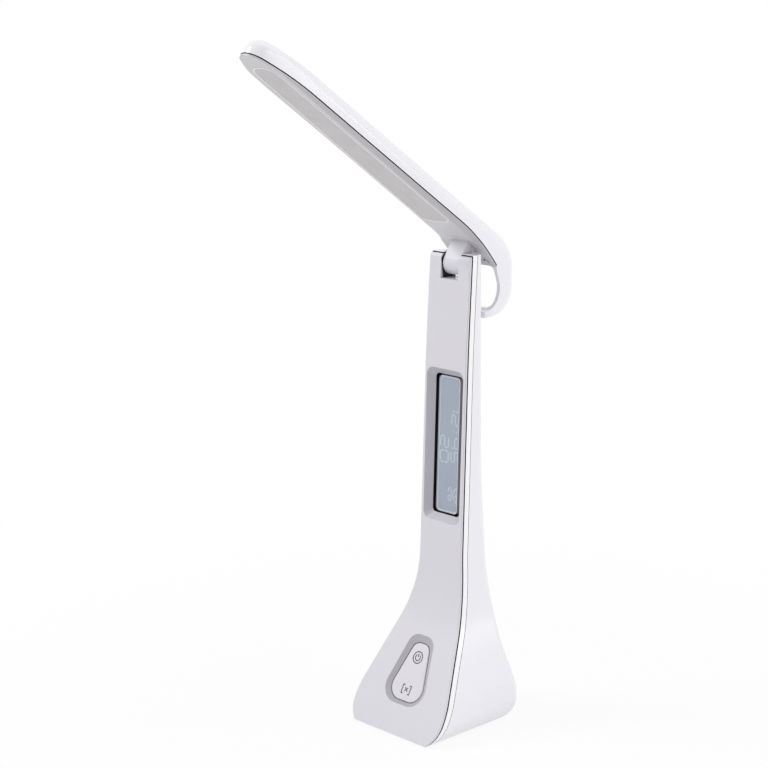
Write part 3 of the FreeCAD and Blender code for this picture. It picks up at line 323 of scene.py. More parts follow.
# Painted highlight: an opaque light colour on the window's edges and round the film, standing in
# for light caught by the glass edge.
WINDOW_EDGE_HIGHLIGHT = Finish("window_edge_painted_highlight", shade(226, 230, 236), 0.18, scale=900.0, relief=0.02)
LCD_FILM = Finish("lcd_film", shade(150, 160, 181), 0.3, scale=1800.0, tone_scale=22.0,
                  relief=0.02, tone_spread=0.07)
LCD_MARK = Finish("lcd_mark", shade(212, 222, 230), 0.35, scale=1800.0, tone_spread=0.05)
BASE_PLASTIC = Finish("base_plastic", shade(216, 215, 219), 0.5, scale=1600.0, relief=0.12)
RUBBER = Finish("rubber_pad", shade(70, 70, 72), 0.8, scale=1400.0, relief=0.2, tone_spread=0.08)
STEEL = Finish("rolled_steel", shade(150, 150, 152), 0.35, metallic=1.0,
               pattern=Pattern.BRUSHED, relief=0.1)
SCREW_STEEL = Finish("screw_steel", shade(176, 176, 178), 0.28, metallic=1.0,
                     pattern=Pattern.BRUSHED, relief=0.1)
SOCKET_METAL = Finish("socket_metal", shade(196, 196, 198), 0.22, metallic=1.0,
                      pattern=Pattern.BRUSHED)
BATTERY_WRAP = Finish("battery_wrap", shade(46, 84, 140), 0.35, scale=600.0, tone_spread=0.05)
CIRCUIT_BOARD = Finish("circuit_board", shade(28, 92, 56), 0.4, scale=1500.0,
                       relief=0.08, tone_spread=0.12)
LAMP_BOARD = Finish("lamp_board", shade(236, 238, 236), 0.45, scale=1500.0, relief=0.05)
WHITE_INNER = Finish("white_inner", shade(238, 238, 238), 0.5, scale=2000.0, relief=0.06)
LED_PHOSPHOR = Finish("led_phosphor", shade(240, 212, 110), 0.3, scale=2600.0, tone_spread=0.06)

MATERIALS: dict[str, bpy.types.Material] = {}


def material_of(finish: Finish) -> bpy.types.Material:
    """Give the material of a finish, made once.

    Args:
        finish: The finish that is wanted.

    Returns:
        Its material.
    """
    if finish.name not in MATERIALS:
        MATERIALS[finish.name] = finish.build()
    return MATERIALS[finish.name]


def dress(piece: bpy.types.Object, *finishes: Finish) -> None:
    """Put finishes on a piece, one for each of its material slots.

    A node's own materials are cleared first. A new piece has none, and its faces keep their
    finish numbers.

    Args:
        piece: The piece to dress.
        finishes: The finishes in the order of the slots.
    """
    if piece.data.materials:
        piece.data.materials.clear()
    for finish in finishes:
        piece.data.materials.append(material_of(finish))


def dress_nodes(finish: Finish, *names: str) -> None:
    """Put one finish on several nodes of the frame.

    Args:
        finish: The finish.
        names: Names of the nodes.
    """
    for name in names:
        dress(NODES[name], finish)
        LOG.info("node %s: %s", name, finish.name)


def add_piece(name: str, mesh: bmesh.types.BMesh, place: Matrix, body: Body, slot: str,
              *finishes: Finish) -> bpy.types.Object:
    """Turn a bmesh into a finished piece of the lamp.

    Args:
        name: Name of the piece.
        mesh: Its shape in a flat frame, freed here.
        place: Matrix of that frame.
        body: Body that the piece rides on.
        slot: Name of a material slot; not used.
        finishes: One finish for each material index.

    Returns:
        The piece, linked and riding on its body.
    """
    bmesh.ops.transform(mesh, matrix=place, verts=mesh.verts)
    bmesh.ops.recalc_face_normals(mesh, faces=mesh.faces)
    data = bpy.data.meshes.new(name)
    mesh.to_mesh(data)
    mesh.free()
    data.shade_smooth()
    data.set_sharp_from_angle(angle=SHARP)
    piece = bpy.data.objects.new(name, data)
    bpy.context.scene.collection.objects.link(piece)
    dress(piece, *finishes)
    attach(piece, body.value)
    LOG.info("piece %s: %d faces on %s", name, len(data.polygons), body.value)
    return piece


def add_outline(mesh: bmesh.types.BMesh, corners: list[tuple[float, float]], rounds: list[float],
                height: float, segments: int = 10) -> bmesh.types.BMFace:
    """Add a flat face with rounded corners.

    Args:
        mesh: The bmesh that takes the face.
        corners: Corner points in order.
        rounds: Corner radius at each point.
        height: Height of the face.
        segments: Steps round each corner.

    Returns:
        The new face.
    """
    points = [mesh.verts.new((x, y, height)) for x, y in corners]
    face = mesh.faces.new(points)
    count = len(points)
    for i, (point, radius) in enumerate(zip(points, rounds)):
        before = Vector(corners[i - 1]) - Vector(corners[i])
        after = Vector(corners[(i + 1) % count]) - Vector(corners[i])
        reach = radius / math.tan(before.angle(after) / 2)
        bmesh.ops.bevel(mesh, geom=[point], offset=reach, offset_type="OFFSET", segments=segments,
                        profile=0.5, affect="VERTICES", material=-1)
    return next(f for f in mesh.faces if f.is_valid and len(f.verts) > 4)


def add_bar(mesh: bmesh.types.BMesh, centre: tuple[float, float], size: tuple[float, float],
            turn: float, low: float, high: float) -> None:
    """Add one straight bar with softened ends, lying flat.

    Args:
        mesh: The bmesh that takes the bar.
        centre: Middle of the bar.
        size: Its length and width.
        turn: Angle of its length from the first axis, in degrees.
        low: Height of its underside.
        high: Height of its top.
    """
    made = bmesh.ops.create_cube(mesh, size=1.0)
    matrix = (Matrix.Translation((centre[0], centre[1], (low + high) / 2))
              @ Matrix.Rotation(math.radians(turn), 4, "Z")
              @ Matrix.Diagonal((size[0], size[1], high - low, 1.0)))
    bmesh.ops.transform(mesh, matrix=matrix, verts=made["verts"])
    upright = [edge for edge in {e for v in made["verts"] for e in v.link_edges}
               if abs(edge.verts[0].co.z - edge.verts[1].co.z) > (high - low) / 2]
    bmesh.ops.bevel(mesh, geom=upright, offset=min(size) * BAR_SOFTNESS, segments=2, profile=0.5,
                    affect="EDGES", material=-1)


def add_arc(mesh: bmesh.types.BMesh, centre: tuple[float, float], radius: float, width: float,
            start: float, sweep: float, low: float, high: float, steps: int = 28) -> None:
    """Add a flat curved bar.

    Args:
        mesh: The bmesh that takes the bar.
        centre: Centre of the curve.
        radius: Radius of the bar's middle line.
        width: Width of the bar.
        start: Angle where it starts, in degrees from the first axis.
        sweep: Angle that it runs through, a full turn closes it.
        low: Height of its underside.
        high: Height of its top.
        steps: Steps along the curve.
    """
    ends = [(radius - width / 2, low), (radius + width / 2, low), (radius + width / 2, high),
            (radius - width / 2, high)]
    angle = math.radians(start)
    ray = Vector((math.cos(angle), math.sin(angle), 0.0))
    middle = Vector((centre[0], centre[1], 0.0))
    points = [mesh.verts.new(middle + ray * reach + Vector((0.0, 0.0, height)))
              for reach, height in ends]
    section = mesh.faces.new(points)
    full = abs(sweep) >= FULL_TURN
    geometry = [section] + list(section.edges) + points
    bmesh.ops.spin(mesh, geom=geometry, cent=middle, axis=(0.0, 0.0, 1.0),
                   angle=math.radians(sweep), steps=steps, use_merge=full)
    if full:
        bmesh.ops.delete(mesh, geom=[section], context="FACES_ONLY")


class Zone(Enum):
    """Parts of a housing that take finishes of their own, by material index; every zone but the
    face takes a painted shade.
    """

    FACE = 0
    GAP_PAINTED_SHADE = 1
    FLANK_PAINTED_SHADE = 2
    DISH_PAINTED_SHADE = 3


@dataclass
class Groove:
    """Narrow space between housings, found by looking both ways from a face; faces found in it take
    a painted shade.
    """

    names: tuple[str, ...]
    reach: float = 1.4 * MM
    lift: float = 0.05 * MM
    spread: tuple[float, ...] = (0.0, 0.8)
    walls: list[BVHTree] = field(default_factory=list)

    def __post_init__(self) -> None:
        """Make a search tree of each housing."""
        for name in self.names:
            data = NODES[name].data
            self.walls.append(BVHTree.FromPolygons([v.co for v in data.vertices],
                                                   [p.vertices for p in data.polygons]))

    def holds(self, data: bpy.types.Mesh, polygon: bpy.types.MeshPolygon, way: Vector) -> bool:
        """Tell whether a face lies between two near walls.

        Args:
            data: Mesh of the face.
            polygon: The face.
            way: Direction across the groove.

        Returns:
            True where a wall is near in this direction and in the opposite one.
        """
        corners = [data.vertices[i].co for i in polygon.vertices]
        for share in self.spread:
            for corner in corners:
                point = polygon.center.lerp(corner, share) + polygon.normal * self.lift
                if self.near(point, way) and self.near(point, -way):
                    return True
        return False

    def near(self, point: Vector, way: Vector) -> bool:
        """Tell whether a wall lies near a point in one direction."""
        return any(wall.ray_cast(point, way, self.reach)[0] is not None for wall in self.walls)


def merged_copy(source: bpy.types.Mesh, name: str) -> bpy.types.Mesh:
    """Copy a node's loose triangles as one joined mesh with the same shading.

    Args:
        source: Mesh of the node.
        name: Name of the copy.

    Returns:
        The copy, with the corner normals of the node.
    """
    mesh = bmesh.new()
    mesh.from_mesh(source)
    kept = mesh.loops.layers.float_vector.new(KEPT_NORMAL)
    for face, polygon in zip(mesh.faces, source.polygons):
        for loop, index in zip(face.loops, polygon.loop_indices):
            loop[kept] = source.corner_normals[index].vector
    bmesh.ops.remove_doubles(mesh, verts=mesh.verts, dist=MERGE)
    data = bpy.data.meshes.new(name)
    mesh.to_mesh(data)
    mesh.free()
    normals = [item.vector.copy() for item in data.attributes[KEPT_NORMAL].data]
    for label in (KEPT_NORMAL, "custom_normal"):
        if label in data.attributes:
            data.attributes.remove(data.attributes[label])
    data.shade_smooth()
    data.normals_split_custom_set(normals)
    return data


ZoneOf = Callable[[bpy.types.Mesh, bpy.types.MeshPolygon], Zone]


def copy_node(name: str, body: Body, slot: str, zone_of: ZoneOf,
              *finishes: Finish) -> bpy.types.Object:
    """Replace a node by a copy whose faces take finishes by zone.

    Args:
        name: Name of the node.
        body: Body that the copy rides on.
        slot: Name of a material slot; not used.
        zone_of: Function that gives the zone of a face of a mesh.
        finishes: One finish for each zone.

    Returns:
        The copy, riding on its body.
    """
    data = merged_copy(NODES[name].data, "dressed_" + name)
    piece = bpy.data.objects.new("dressed_" + name, data)
    bpy.context.scene.collection.objects.link(piece)
    dress(piece, *finishes)
    for polygon in data.polygons:
        polygon.material_index = zone_of(data, polygon).value
    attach(piece, body.value)
    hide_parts(name)
    LOG.info("piece %s: %d faces", piece.name, len(data.polygons))
    return piece


def local_of(place: Matrix, polygon: bpy.types.MeshPolygon) -> tuple[Vector, Vector]:
    """Give a face's centre in millimetres and its normal, both in a flat frame."""
    turn = place.to_quaternion().to_matrix().transposed()
    return place.inverted() @ polygon.center, turn @ polygon.normal


@dataclass
class Stand:
    """Housing of the stand: front panel, rim and rear shell, with painted shade in the grooves
    between them.

    Sizes of the display recess and of the key's dish are millimetres in their own frames.
    """

    slope_top: float = 71.4 * MM
    slot_floor: float = 246.0 * MM
    steep_front: tuple[float, float, float] = (0.0, -1.0, 0.03)
    slope_front: tuple[float, float, float] = (0.0, -0.874, 0.486)
    recess_half: tuple[float, float] = (14.2, 43.6)
    dish_half: tuple[float, float] = (18.0, 22.0)
    below_face: float = -0.02
    upright: float = 0.1
    level: float = 0.985
    groove: Groove = field(default_factory=lambda: Groove(
        ("front_panel", "front_frame", "rear_shell")))
    slit: Groove = field(default_factory=lambda: Groove(
        ("front_panel", "front_frame", "rear_shell", "hinge_tongue"),
        reach=0.9 * MM, spread=(0.0, 0.4)))

    def build(self) -> None:
        """Copy the three housings and paint shade on what lies in the grooves between them."""
        copy_node("front_panel", Body.STAND, "satin_panel", self.zone_of_panel,
                  SATIN_PANEL, GROOVE_SHADE, PANEL_FLANK_SHADE, KEY_DISH_SHADE)
        copy_node("front_frame", Body.STAND, "gloss_shell", self.zone_of_shell,
                  RIM_GLOSS_SHEEN, GROOVE_SHADE)
        copy_node("rear_shell", Body.STAND, "gloss_shell", self.zone_of_shell,
                  GLOSS_SHELL, GROOVE_SHADE)

    def zone_of_shell(self, data: bpy.types.Mesh, polygon: bpy.types.MeshPolygon) -> Zone:
        """Tell faces in the grooves and in the hinge's slits, which take a painted shade, from the
        others.

        Args:
            data: Mesh of the housing.
            polygon: One face of it.

        Returns:
            Zone of the face.
        """
        front = Vector(self.slope_front if polygon.center.z < self.slope_top else self.steep_front)
        side = Vector((1.0, 0.0, 0.0))
        slit = polygon.center.z > self.slot_floor and self.slit.holds(data, polygon, side)
        return Zone.GAP_PAINTED_SHADE if slit or self.groove.holds(data, polygon, front) else Zone.FACE

    def zone_of_panel(self, data: bpy.types.Mesh, polygon: bpy.types.MeshPolygon) -> Zone:
        """Tell the flanks of the display recess and of the key's dish, which take a painted shade,
        from the panel's face.

        Args:
            data: Mesh of the panel.
            polygon: One face of it.

        Returns:
            Zone of the face.
        """
        # The flanks take a painted shade for the recess and the dish, and the walls of the key's
        # hole a painted gap shade.
        for place, half, shade_zone in ((DISPLAY_FRAME, self.recess_half, Zone.FLANK_PAINTED_SHADE),
                                   (KEY_FRAME, self.dish_half, Zone.DISH_PAINTED_SHADE)):
            centre, normal = local_of(place, polygon)
            inside = abs(centre.x) < half[0] and abs(centre.y) < half[1]
            if inside and centre.z < self.below_face:
                if self.upright < normal.z < self.level:
                    return shade_zone
                if shade_zone is Zone.DISH_PAINTED_SHADE and abs(normal.z) < self.upright:
                    return Zone.GAP_PAINTED_SHADE
        return self.zone_of_shell(data, polygon)

    def dress(self) -> None:
        """Finish the base and the unseen pieces of the stand."""
        dress_nodes(BASE_PLASTIC, "base_plate")
        dress_nodes(RUBBER, "base_pad")
        dress_nodes(STEEL, "ballast_plate")
        dress_nodes(SCREW_STEEL, "base_screws", "hinge_pin", "friction_washers")
        dress_nodes(BATTERY_WRAP, "battery")
        dress_nodes(CIRCUIT_BOARD, "charge_board")
        dress_nodes(SOCKET_METAL, "charge_socket")


SEGMENTS = {"0": "abcdef", "1": "bc", "2": "abged", "4": "fgbc", "5": "afgcd", "6": "afgedc"}
STROKE_GAP = 1.3


@dataclass(frozen=True)
class NumberRow:
    """One row of numbers on the display: its place, the sizes of a number and where each stands."""

    across: float
    tall: float
    wide: float
    stroke: float
    places: tuple[tuple[str, float], ...]


@dataclass
class DisplayUnit:
    """Display behind the panel: window, film with its numbers, and the black tray round them.

    Sizes are millimetres in the display's frame, with heights counted out from the panel's face.
    """

    half_width: float = 8.0
    half_length: float = 38.7
    corner: float = 2.4
    front: float = -3.9
    film: float = -6.4
    film_thick: float = 1.95
    film_inset: float = 0.15
    film_edge_highlight: float = 0.8
    film_gap: float = 0.15
    edge_round: float = 0.15
    mark_rise: float = 0.08
    upper_row: NumberRow = NumberRow(-3.1, 6.0, 6.4, 0.7, (("2", 1.4), ("0", -6.9)))
    clock_row: NumberRow = NumberRow(
        4.6, 5.2, 5.8, 0.6, (("1", 22.4), ("2", 14.6), ("4", 1.6), ("5", -6.2)))
    small_row: NumberRow = NumberRow(3.0, 4.4, 2.9, 0.5, (("2", -25.6), ("6", -29.8)))
    dots: tuple[tuple[float, float], ...] = ((3.4, 8.1), (5.8, 8.1))
    dot_size: tuple[float, float] = (0.9, 0.9)
    dashes: tuple[tuple[float, float], ...] = ((6.6, -24.4), (6.6, -28.0), (6.6, -31.6))
    dash_size: tuple[float, float] = (0.6, 1.8)

    def build(self) -> None:
        """Model the film, the numbers on it and the window over them."""
        self.build_film()
        self.build_numbers()
        self.build_window()

    def add_plate(self, mesh: bmesh.types.BMesh, inset: float, back: float, thick: float) -> None:
        """Add a flat plate with the window's rounded outline.

        Args:
            mesh: The bmesh that takes the plate.
            inset: How much smaller than the window it is on each side.
            back: Height of its back.
            thick: Its thickness.
        """
        x, y = self.half_width - inset, self.half_length - inset
        face = add_outline(mesh, [(-x, -y), (x, -y), (x, y), (-x, y)], [self.corner] * 4, back)
        grown = bmesh.ops.extrude_face_region(mesh, geom=[face])
        top = [item for item in grown["geom"] if isinstance(item, bmesh.types.BMVert)]
        bmesh.ops.translate(mesh, vec=(0.0, 0.0, thick), verts=top)

    def build_film(self) -> None:
        """Model the film on its cell as a plate with rounded corners, with a painted highlight on
        its sides and on a border round its face.
        """
        mesh = bmesh.new()
        self.add_plate(mesh, self.film_inset, self.film, self.film_thick)
        self.part_sides(mesh)
        front = max(mesh.faces, key=lambda item: item.calc_center_median().z)
        border = bmesh.ops.inset_region(mesh, faces=[front], thickness=self.film_edge_highlight,
                                        use_even_offset=True)
        for item in border["faces"]:
            item.material_index = 1
        add_piece("display_film", mesh, DISPLAY_FRAME, Body.STAND, "lcd", LCD_FILM, WINDOW_EDGE_HIGHLIGHT)

    @staticmethod
    def part_sides(mesh: bmesh.types.BMesh) -> None:
        """Give the sides of a flat plate the second finish, the painted edge highlight.

        Args:
            mesh: The bmesh of the plate.
        """
        mesh.normal_update()
        for face in mesh.faces:
            face.material_index = 0 if abs(face.normal.z) > LEVEL_FACE else 1

    def build_window(self) -> None:
        """Model the clear window with rounded edges, whose sides and rounding take a painted
        highlight.
        """
        mesh = bmesh.new()
        back = self.film + self.film_thick + self.film_gap
        self.add_plate(mesh, 0.0, back, self.front - back)
        rim = [edge for edge in mesh.edges
               if all(abs(v.co.z - self.front) < LEVEL for v in edge.verts)]
        bmesh.ops.bevel(mesh, geom=rim, offset=self.edge_round, segments=3, profile=0.5,
                        affect="EDGES", material=-1)
        self.part_sides(mesh)
        piece = add_piece("display_window", mesh, DISPLAY_FRAME, Body.STAND, "clear_window",
                          CLEAR_WINDOW, WINDOW_EDGE_HIGHLIGHT)
        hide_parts("display_lens")

    def build_numbers(self) -> None:
        """Model the faint numbers on the film, turned a quarter turn."""
        mesh = bmesh.new()
        base = self.film + self.film_thick
        for row in (self.upper_row, self.clock_row, self.small_row):
            for digit, place in row.places:
                self.add_digit(mesh, digit, row, place)
        for places, size in ((self.dots, self.dot_size), (self.dashes, self.dash_size)):
            for place in places:
                add_bar(mesh, place, size, 0.0, base, base + self.mark_rise)
        add_piece("display_numbers", mesh, DISPLAY_FRAME, Body.STAND, "lcd", LCD_MARK)

    def add_digit(self, mesh: bmesh.types.BMesh, digit: str, row: NumberRow, place: float) -> None:
        """Add one seven segment number whose top points across the window.

        Args:
            mesh: The bmesh that takes the bars.
            digit: The number to show.
            row: Row that it stands in.
            place: Place of its middle along the window.
        """
        half, side, wide = row.tall / 2, row.wide / 2, row.wide
        base = self.film + self.film_thick
        bars = {
            "a": (half, 0.0, wide, QUARTER_TURN),
            "g": (0.0, 0.0, wide, QUARTER_TURN),
            "d": (-half, 0.0, wide, QUARTER_TURN),
            "b": (half / 2, -side, half, 0.0),
            "c": (-half / 2, -side, half, 0.0),
            "f": (half / 2, side, half, 0.0),
            "e": (-half / 2, side, half, 0.0),
        }
        for name in SEGMENTS[digit]:
            across, along, length, turn = bars[name]
            size = (length - STROKE_GAP * row.stroke, row.stroke)
            add_bar(mesh, (row.across + across, place + along), size, turn,
                    base, base + self.mark_rise)

    def dress(self) -> None:
        """Finish the film, the tray and the boards behind it."""
        dress_nodes(LCD_FILM, "lcd_cell")
        dress_nodes(BLACK_TRAY, "display_tray", "control_chip", "buzzer")
        dress_nodes(CIRCUIT_BOARD, "main_board")
        dress_nodes(SCREW_STEEL, "board_screws")


@dataclass
class RockerKey:
    """Rocker key with a power mark at its upper end and a brightness mark at its lower end.

    Sizes are millimetres in the key's frame, and angles are degrees.
    """

    surface: float = -1.3
    rise: float = 0.05
    sink: float = 0.1
    stroke: float = 0.62
    power_place: float = 8.75
    ring_radius: float = 3.35
    ring_steps: int = 40
    arc_radius: float = 1.75
    arc_start: float = 125.0
    arc_sweep: float = 290.0
    arc_steps: int = 24
    bar_length: float = 2.0
    bar_rise: float = 1.25
    level_place: float = -10.1
    bracket_half: float = 3.0
    bracket_tall: float = 5.2
    foot_half: float = 2.5
    foot_rise: float = 2.45
    foot_length: float = 1.5
    cross_length: float = 3.2
    cross_turn: float = 45.0
    face_tilt: float = 0.25

    def build(self) -> None:
        """Model both marks as thin prints on the key, and copy the key with a painted shade on its
        sides.
        """
        low, high = self.surface - self.sink, self.surface + self.rise
        self.build_power_mark(low, high)
        self.build_level_mark(low, high)
        copy_node("key_cap", Body.KEY, "key_plastic", self.zone_of_key, KEY_PLASTIC, GROOVE_SHADE)

    def build_power_mark(self, low: float, high: float) -> None:
        """Model the ring, the open arc and the bar of the power mark.

        Args:
            low: Height of the print's underside.
            high: Height of its top.
        """
        mesh = bmesh.new()
        centre = (0.0, self.power_place)
        add_arc(mesh, centre, self.ring_radius, self.stroke, 0.0, FULL_TURN, low, high,
                self.ring_steps)
        add_arc(mesh, centre, self.arc_radius, self.stroke, self.arc_start, self.arc_sweep,
                low, high, self.arc_steps)
        add_bar(mesh, (0.0, self.power_place + self.bar_rise), (self.bar_length, self.stroke),
                QUARTER_TURN, low, high)
        add_piece("key_power_mark", mesh, KEY_FRAME, Body.KEY, "key_plastic", MARK_INK)

    def build_level_mark(self, low: float, high: float) -> None:
        """Model the two brackets and the cross of the brightness mark.

        Args:
            low: Height of the print's underside.
            high: Height of its top.
        """
        mesh = bmesh.new()
        centre = (0.0, self.level_place)
        for side in (-1.0, 1.0):
            add_bar(mesh, (side * self.bracket_half, self.level_place),
                    (self.bracket_tall, self.stroke), QUARTER_TURN, low, high)
            for end in (-1.0, 1.0):
                place = (side * self.foot_half, self.level_place + end * self.foot_rise)
                add_bar(mesh, place, (self.foot_length, self.stroke), 0.0, low, high)
        for turn in (self.cross_turn, -self.cross_turn):
            add_bar(mesh, centre, (self.cross_length, self.stroke), turn, low, high)
        add_piece("key_level_mark", mesh, KEY_FRAME, Body.KEY, "key_plastic", MARK_INK)

    def zone_of_key(self, data: bpy.types.Mesh, polygon: bpy.types.MeshPolygon) -> Zone:
        """Tell the key's sides, which take a painted shade for the gap round the key, from its
        face.

        Args:
            data: Mesh of the key.
            polygon: One face of it.

        Returns:
            Zone of the face.
        """
        normal = local_of(KEY_FRAME, polygon)[1]
        return Zone.FACE if normal.z > self.face_tilt else Zone.GAP_PAINTED_SHADE

    def dress(self) -> None:
        """Finish what carries the key."""
        dress_nodes(SCREW_STEEL, "key_pivot_pin", "bracket_screws")
        dress_nodes(WHITE_INNER, "key_bracket")
        dress_nodes(CIRCUIT_BOARD, "key_board")
        dress_nodes(BLACK_TRAY, "tact_switches", "switch_stem_upper", "switch_stem_lower")


@dataclass
class LightHead:
    """Light head: glossy top, satin lower cover, and the milky window with its raised bead.

    Sizes are millimetres in the head's frame, which starts at the hinge and runs to the tip.
    """

    back: float = 28.5
    front: float = 178.5
    back_half: float = 10.8
    front_half: float = 8.5
    back_round: float = 5.0
    front_round: float = 7.0
    root: float = 26.0
    tip: float = 190.4
    root_height: float = 10.3
    tip_height: float = 11.7
    bead_width: float = 0.9
    bead_rise: float = 0.22
    bead_sink: float = 0.1
    bead_play: float = 0.05
    bead_round: float = 0.8
    bead_steps: int = 12
    seam_rise: float = 12.6
    seam_half_gap: float = 0.15
    seam_play: float = 0.03
    seam_lip: float = 0.35
    slope_side: float = 0.2
    slope_rise: float = 0.1
    bend: tuple[float, float] = (26.97, -107.4)
    middle: float = 100.0
    seam: Groove = field(default_factory=lambda: Groove(
        ("head_top_shell", "head_lower_cover"), reach=0.8 * MM, spread=(0.0,)))

    def build(self) -> None:
        """Model the bead and copy both housings, with a painted shade in their seam."""
        self.build_bead()
        top = copy_node("head_top_shell", Body.HEAD, "gloss_shell", self.zone_of_top,
                        GLOSS_SHELL, GROOVE_SHADE)
        self.open_seam(top.data)
        copy_node("head_lower_cover", Body.HEAD, "satin_cover", self.zone_of_cover,
                  SATIN_COVER, GROOVE_SHADE, COVER_SLOPE_SHADE)

    def zone_of_top(self, data: bpy.types.Mesh, polygon: bpy.types.MeshPolygon) -> Zone:
        """Tell faces in the seam, which take a painted shade, from the others.

        Args:
            data: Mesh of the housing.
            polygon: One face of it.

        Returns:
            Zone of the face.
        """
        out = HEAD_FRAME.to_quaternion() @ Vector((0.0, 0.0, 1.0))
        return Zone.GAP_PAINTED_SHADE if self.seam.holds(data, polygon, out) else Zone.FACE

    def open_seam(self, data: bpy.types.Mesh) -> None:
        """Cut back the top shell's outer lip, so that the seam and its painted shade show as a dark
        line.

        Args:
            data: Mesh of the top shell's copy.
        """
        inverse = HEAD_FRAME.inverted()
        outer = set()
        for polygon in data.polygons:
            centre, normal = local_of(HEAD_FRAME, polygon)
            outward = normal.x * centre.x + normal.y * (centre.y - self.middle)
            if outward > abs(normal.z) * self.middle:
                outer.update(polygon.vertices)
        for index in sorted(outer):
            point = inverse @ data.vertices[index].co
            ray = Vector((0.0, min(0.0, point.y - self.bend[0]), point.z - self.bend[1]))
            rise = ray.length - self.seam_rise + self.bend[1]
            if abs(rise - self.seam_half_gap) < self.seam_play:
                data.vertices[index].co = HEAD_FRAME @ (point + ray.normalized() * self.seam_lip)

    def zone_of_cover(self, data: bpy.types.Mesh, polygon: bpy.types.MeshPolygon) -> Zone:
        """Tell the cover's slopes, which take a painted shade, from its flat face.

        Args:
            data: Mesh of the cover.
            polygon: One face of it.

        Returns:
            Zone of the face.
        """
        normal = local_of(HEAD_FRAME, polygon)[1]
        if abs(normal.x) > self.slope_side and normal.z < self.slope_rise:
            return Zone.FLANK_PAINTED_SHADE
        return self.zone_of_top(data, polygon)

    def build_bead(self) -> None:
        """Model the bead round the milky window."""
        mesh = bmesh.new()
        grow = self.bead_width / 2 + self.bead_play
        back_half, front_half = self.back_half + grow, self.front_half + grow
        back, front = self.back - grow, self.front + grow
        corners = [(-back_half, back), (back_half, back), (front_half, front), (-front_half, front)]
        rounds = [self.back_round + grow] * 2 + [self.front_round + grow] * 2
        face = add_outline(mesh, corners, rounds, 0.0, self.bead_steps)
        bmesh.ops.inset_region(mesh, faces=[face], thickness=self.bead_width,
                               use_boundary=True, use_even_offset=True)
        bmesh.ops.delete(mesh, geom=[face], context="FACES_ONLY")
        grown = bmesh.ops.extrude_face_region(mesh, geom=list(mesh.faces))
        lower = [item for item in grown["geom"] if isinstance(item, bmesh.types.BMVert)]
        depth = -self.bead_rise - self.bead_sink
        bmesh.ops.translate(mesh, vec=(0.0, 0.0, depth), verts=lower)
        mesh.normal_update()
        edges = [e for e in mesh.edges if all(abs(v.co.z - depth) < LEVEL for v in e.verts)
                 and len({f for f in e.link_faces if abs(f.normal.z) < LEVEL_FACE}) == 1]
        bmesh.ops.bevel(mesh, geom=edges, offset=self.bead_rise * self.bead_round, segments=2,
                        profile=0.5, affect="EDGES", material=-1)
        rise = math.atan2(self.tip_height - self.root_height, self.tip - self.root)
        seat = (Matrix.Translation((0.0, self.root, self.root_height + self.bead_sink))
                @ Matrix.Rotation(rise, 4, "X") @ Matrix.Translation((0.0, -self.root, 0.0)))
        add_piece("window_bead", mesh, HEAD_FRAME @ seat, Body.HEAD, "satin_cover", WINDOW_BEAD)

    def dress(self) -> None:
        """Finish the head and the light unit in it."""
        dress_nodes(SATIN_PANEL, "hinge_tongue")
        dress_nodes(MILKY_WINDOW, "light_diffuser")
        dress_nodes(WHITE_INNER, "light_reflector")
        dress_nodes(LAMP_BOARD, "led_board")
        dress_nodes(LED_PHOSPHOR, "led_chips")
        dress_nodes(SCREW_STEEL, "tongue_screws", "cover_screws")


@dataclass(frozen=True)
class SoftBox:
    """Soft square lamp of the studio: where it hangs, what it looks at, its side and its power."""

    name: str
    place: tuple[float, float, float]
    target: tuple[float, float, float]
    size: float
    power: float

    def build(self) -> None:
        """Hang the lamp and turn it to its target."""
        light = bpy.data.lights.new(self.name, "AREA")
        light.size = self.size
        light.energy = self.power
        lamp = bpy.data.objects.new(self.name, light)
        bpy.context.scene.collection.objects.link(lamp)
        lamp.location = self.place
        lamp.rotation_mode = "QUATERNION"
        way = Vector(self.target) - Vector(self.place)
        lamp.rotation_quaternion = way.to_track_quat("-Z", "Y")


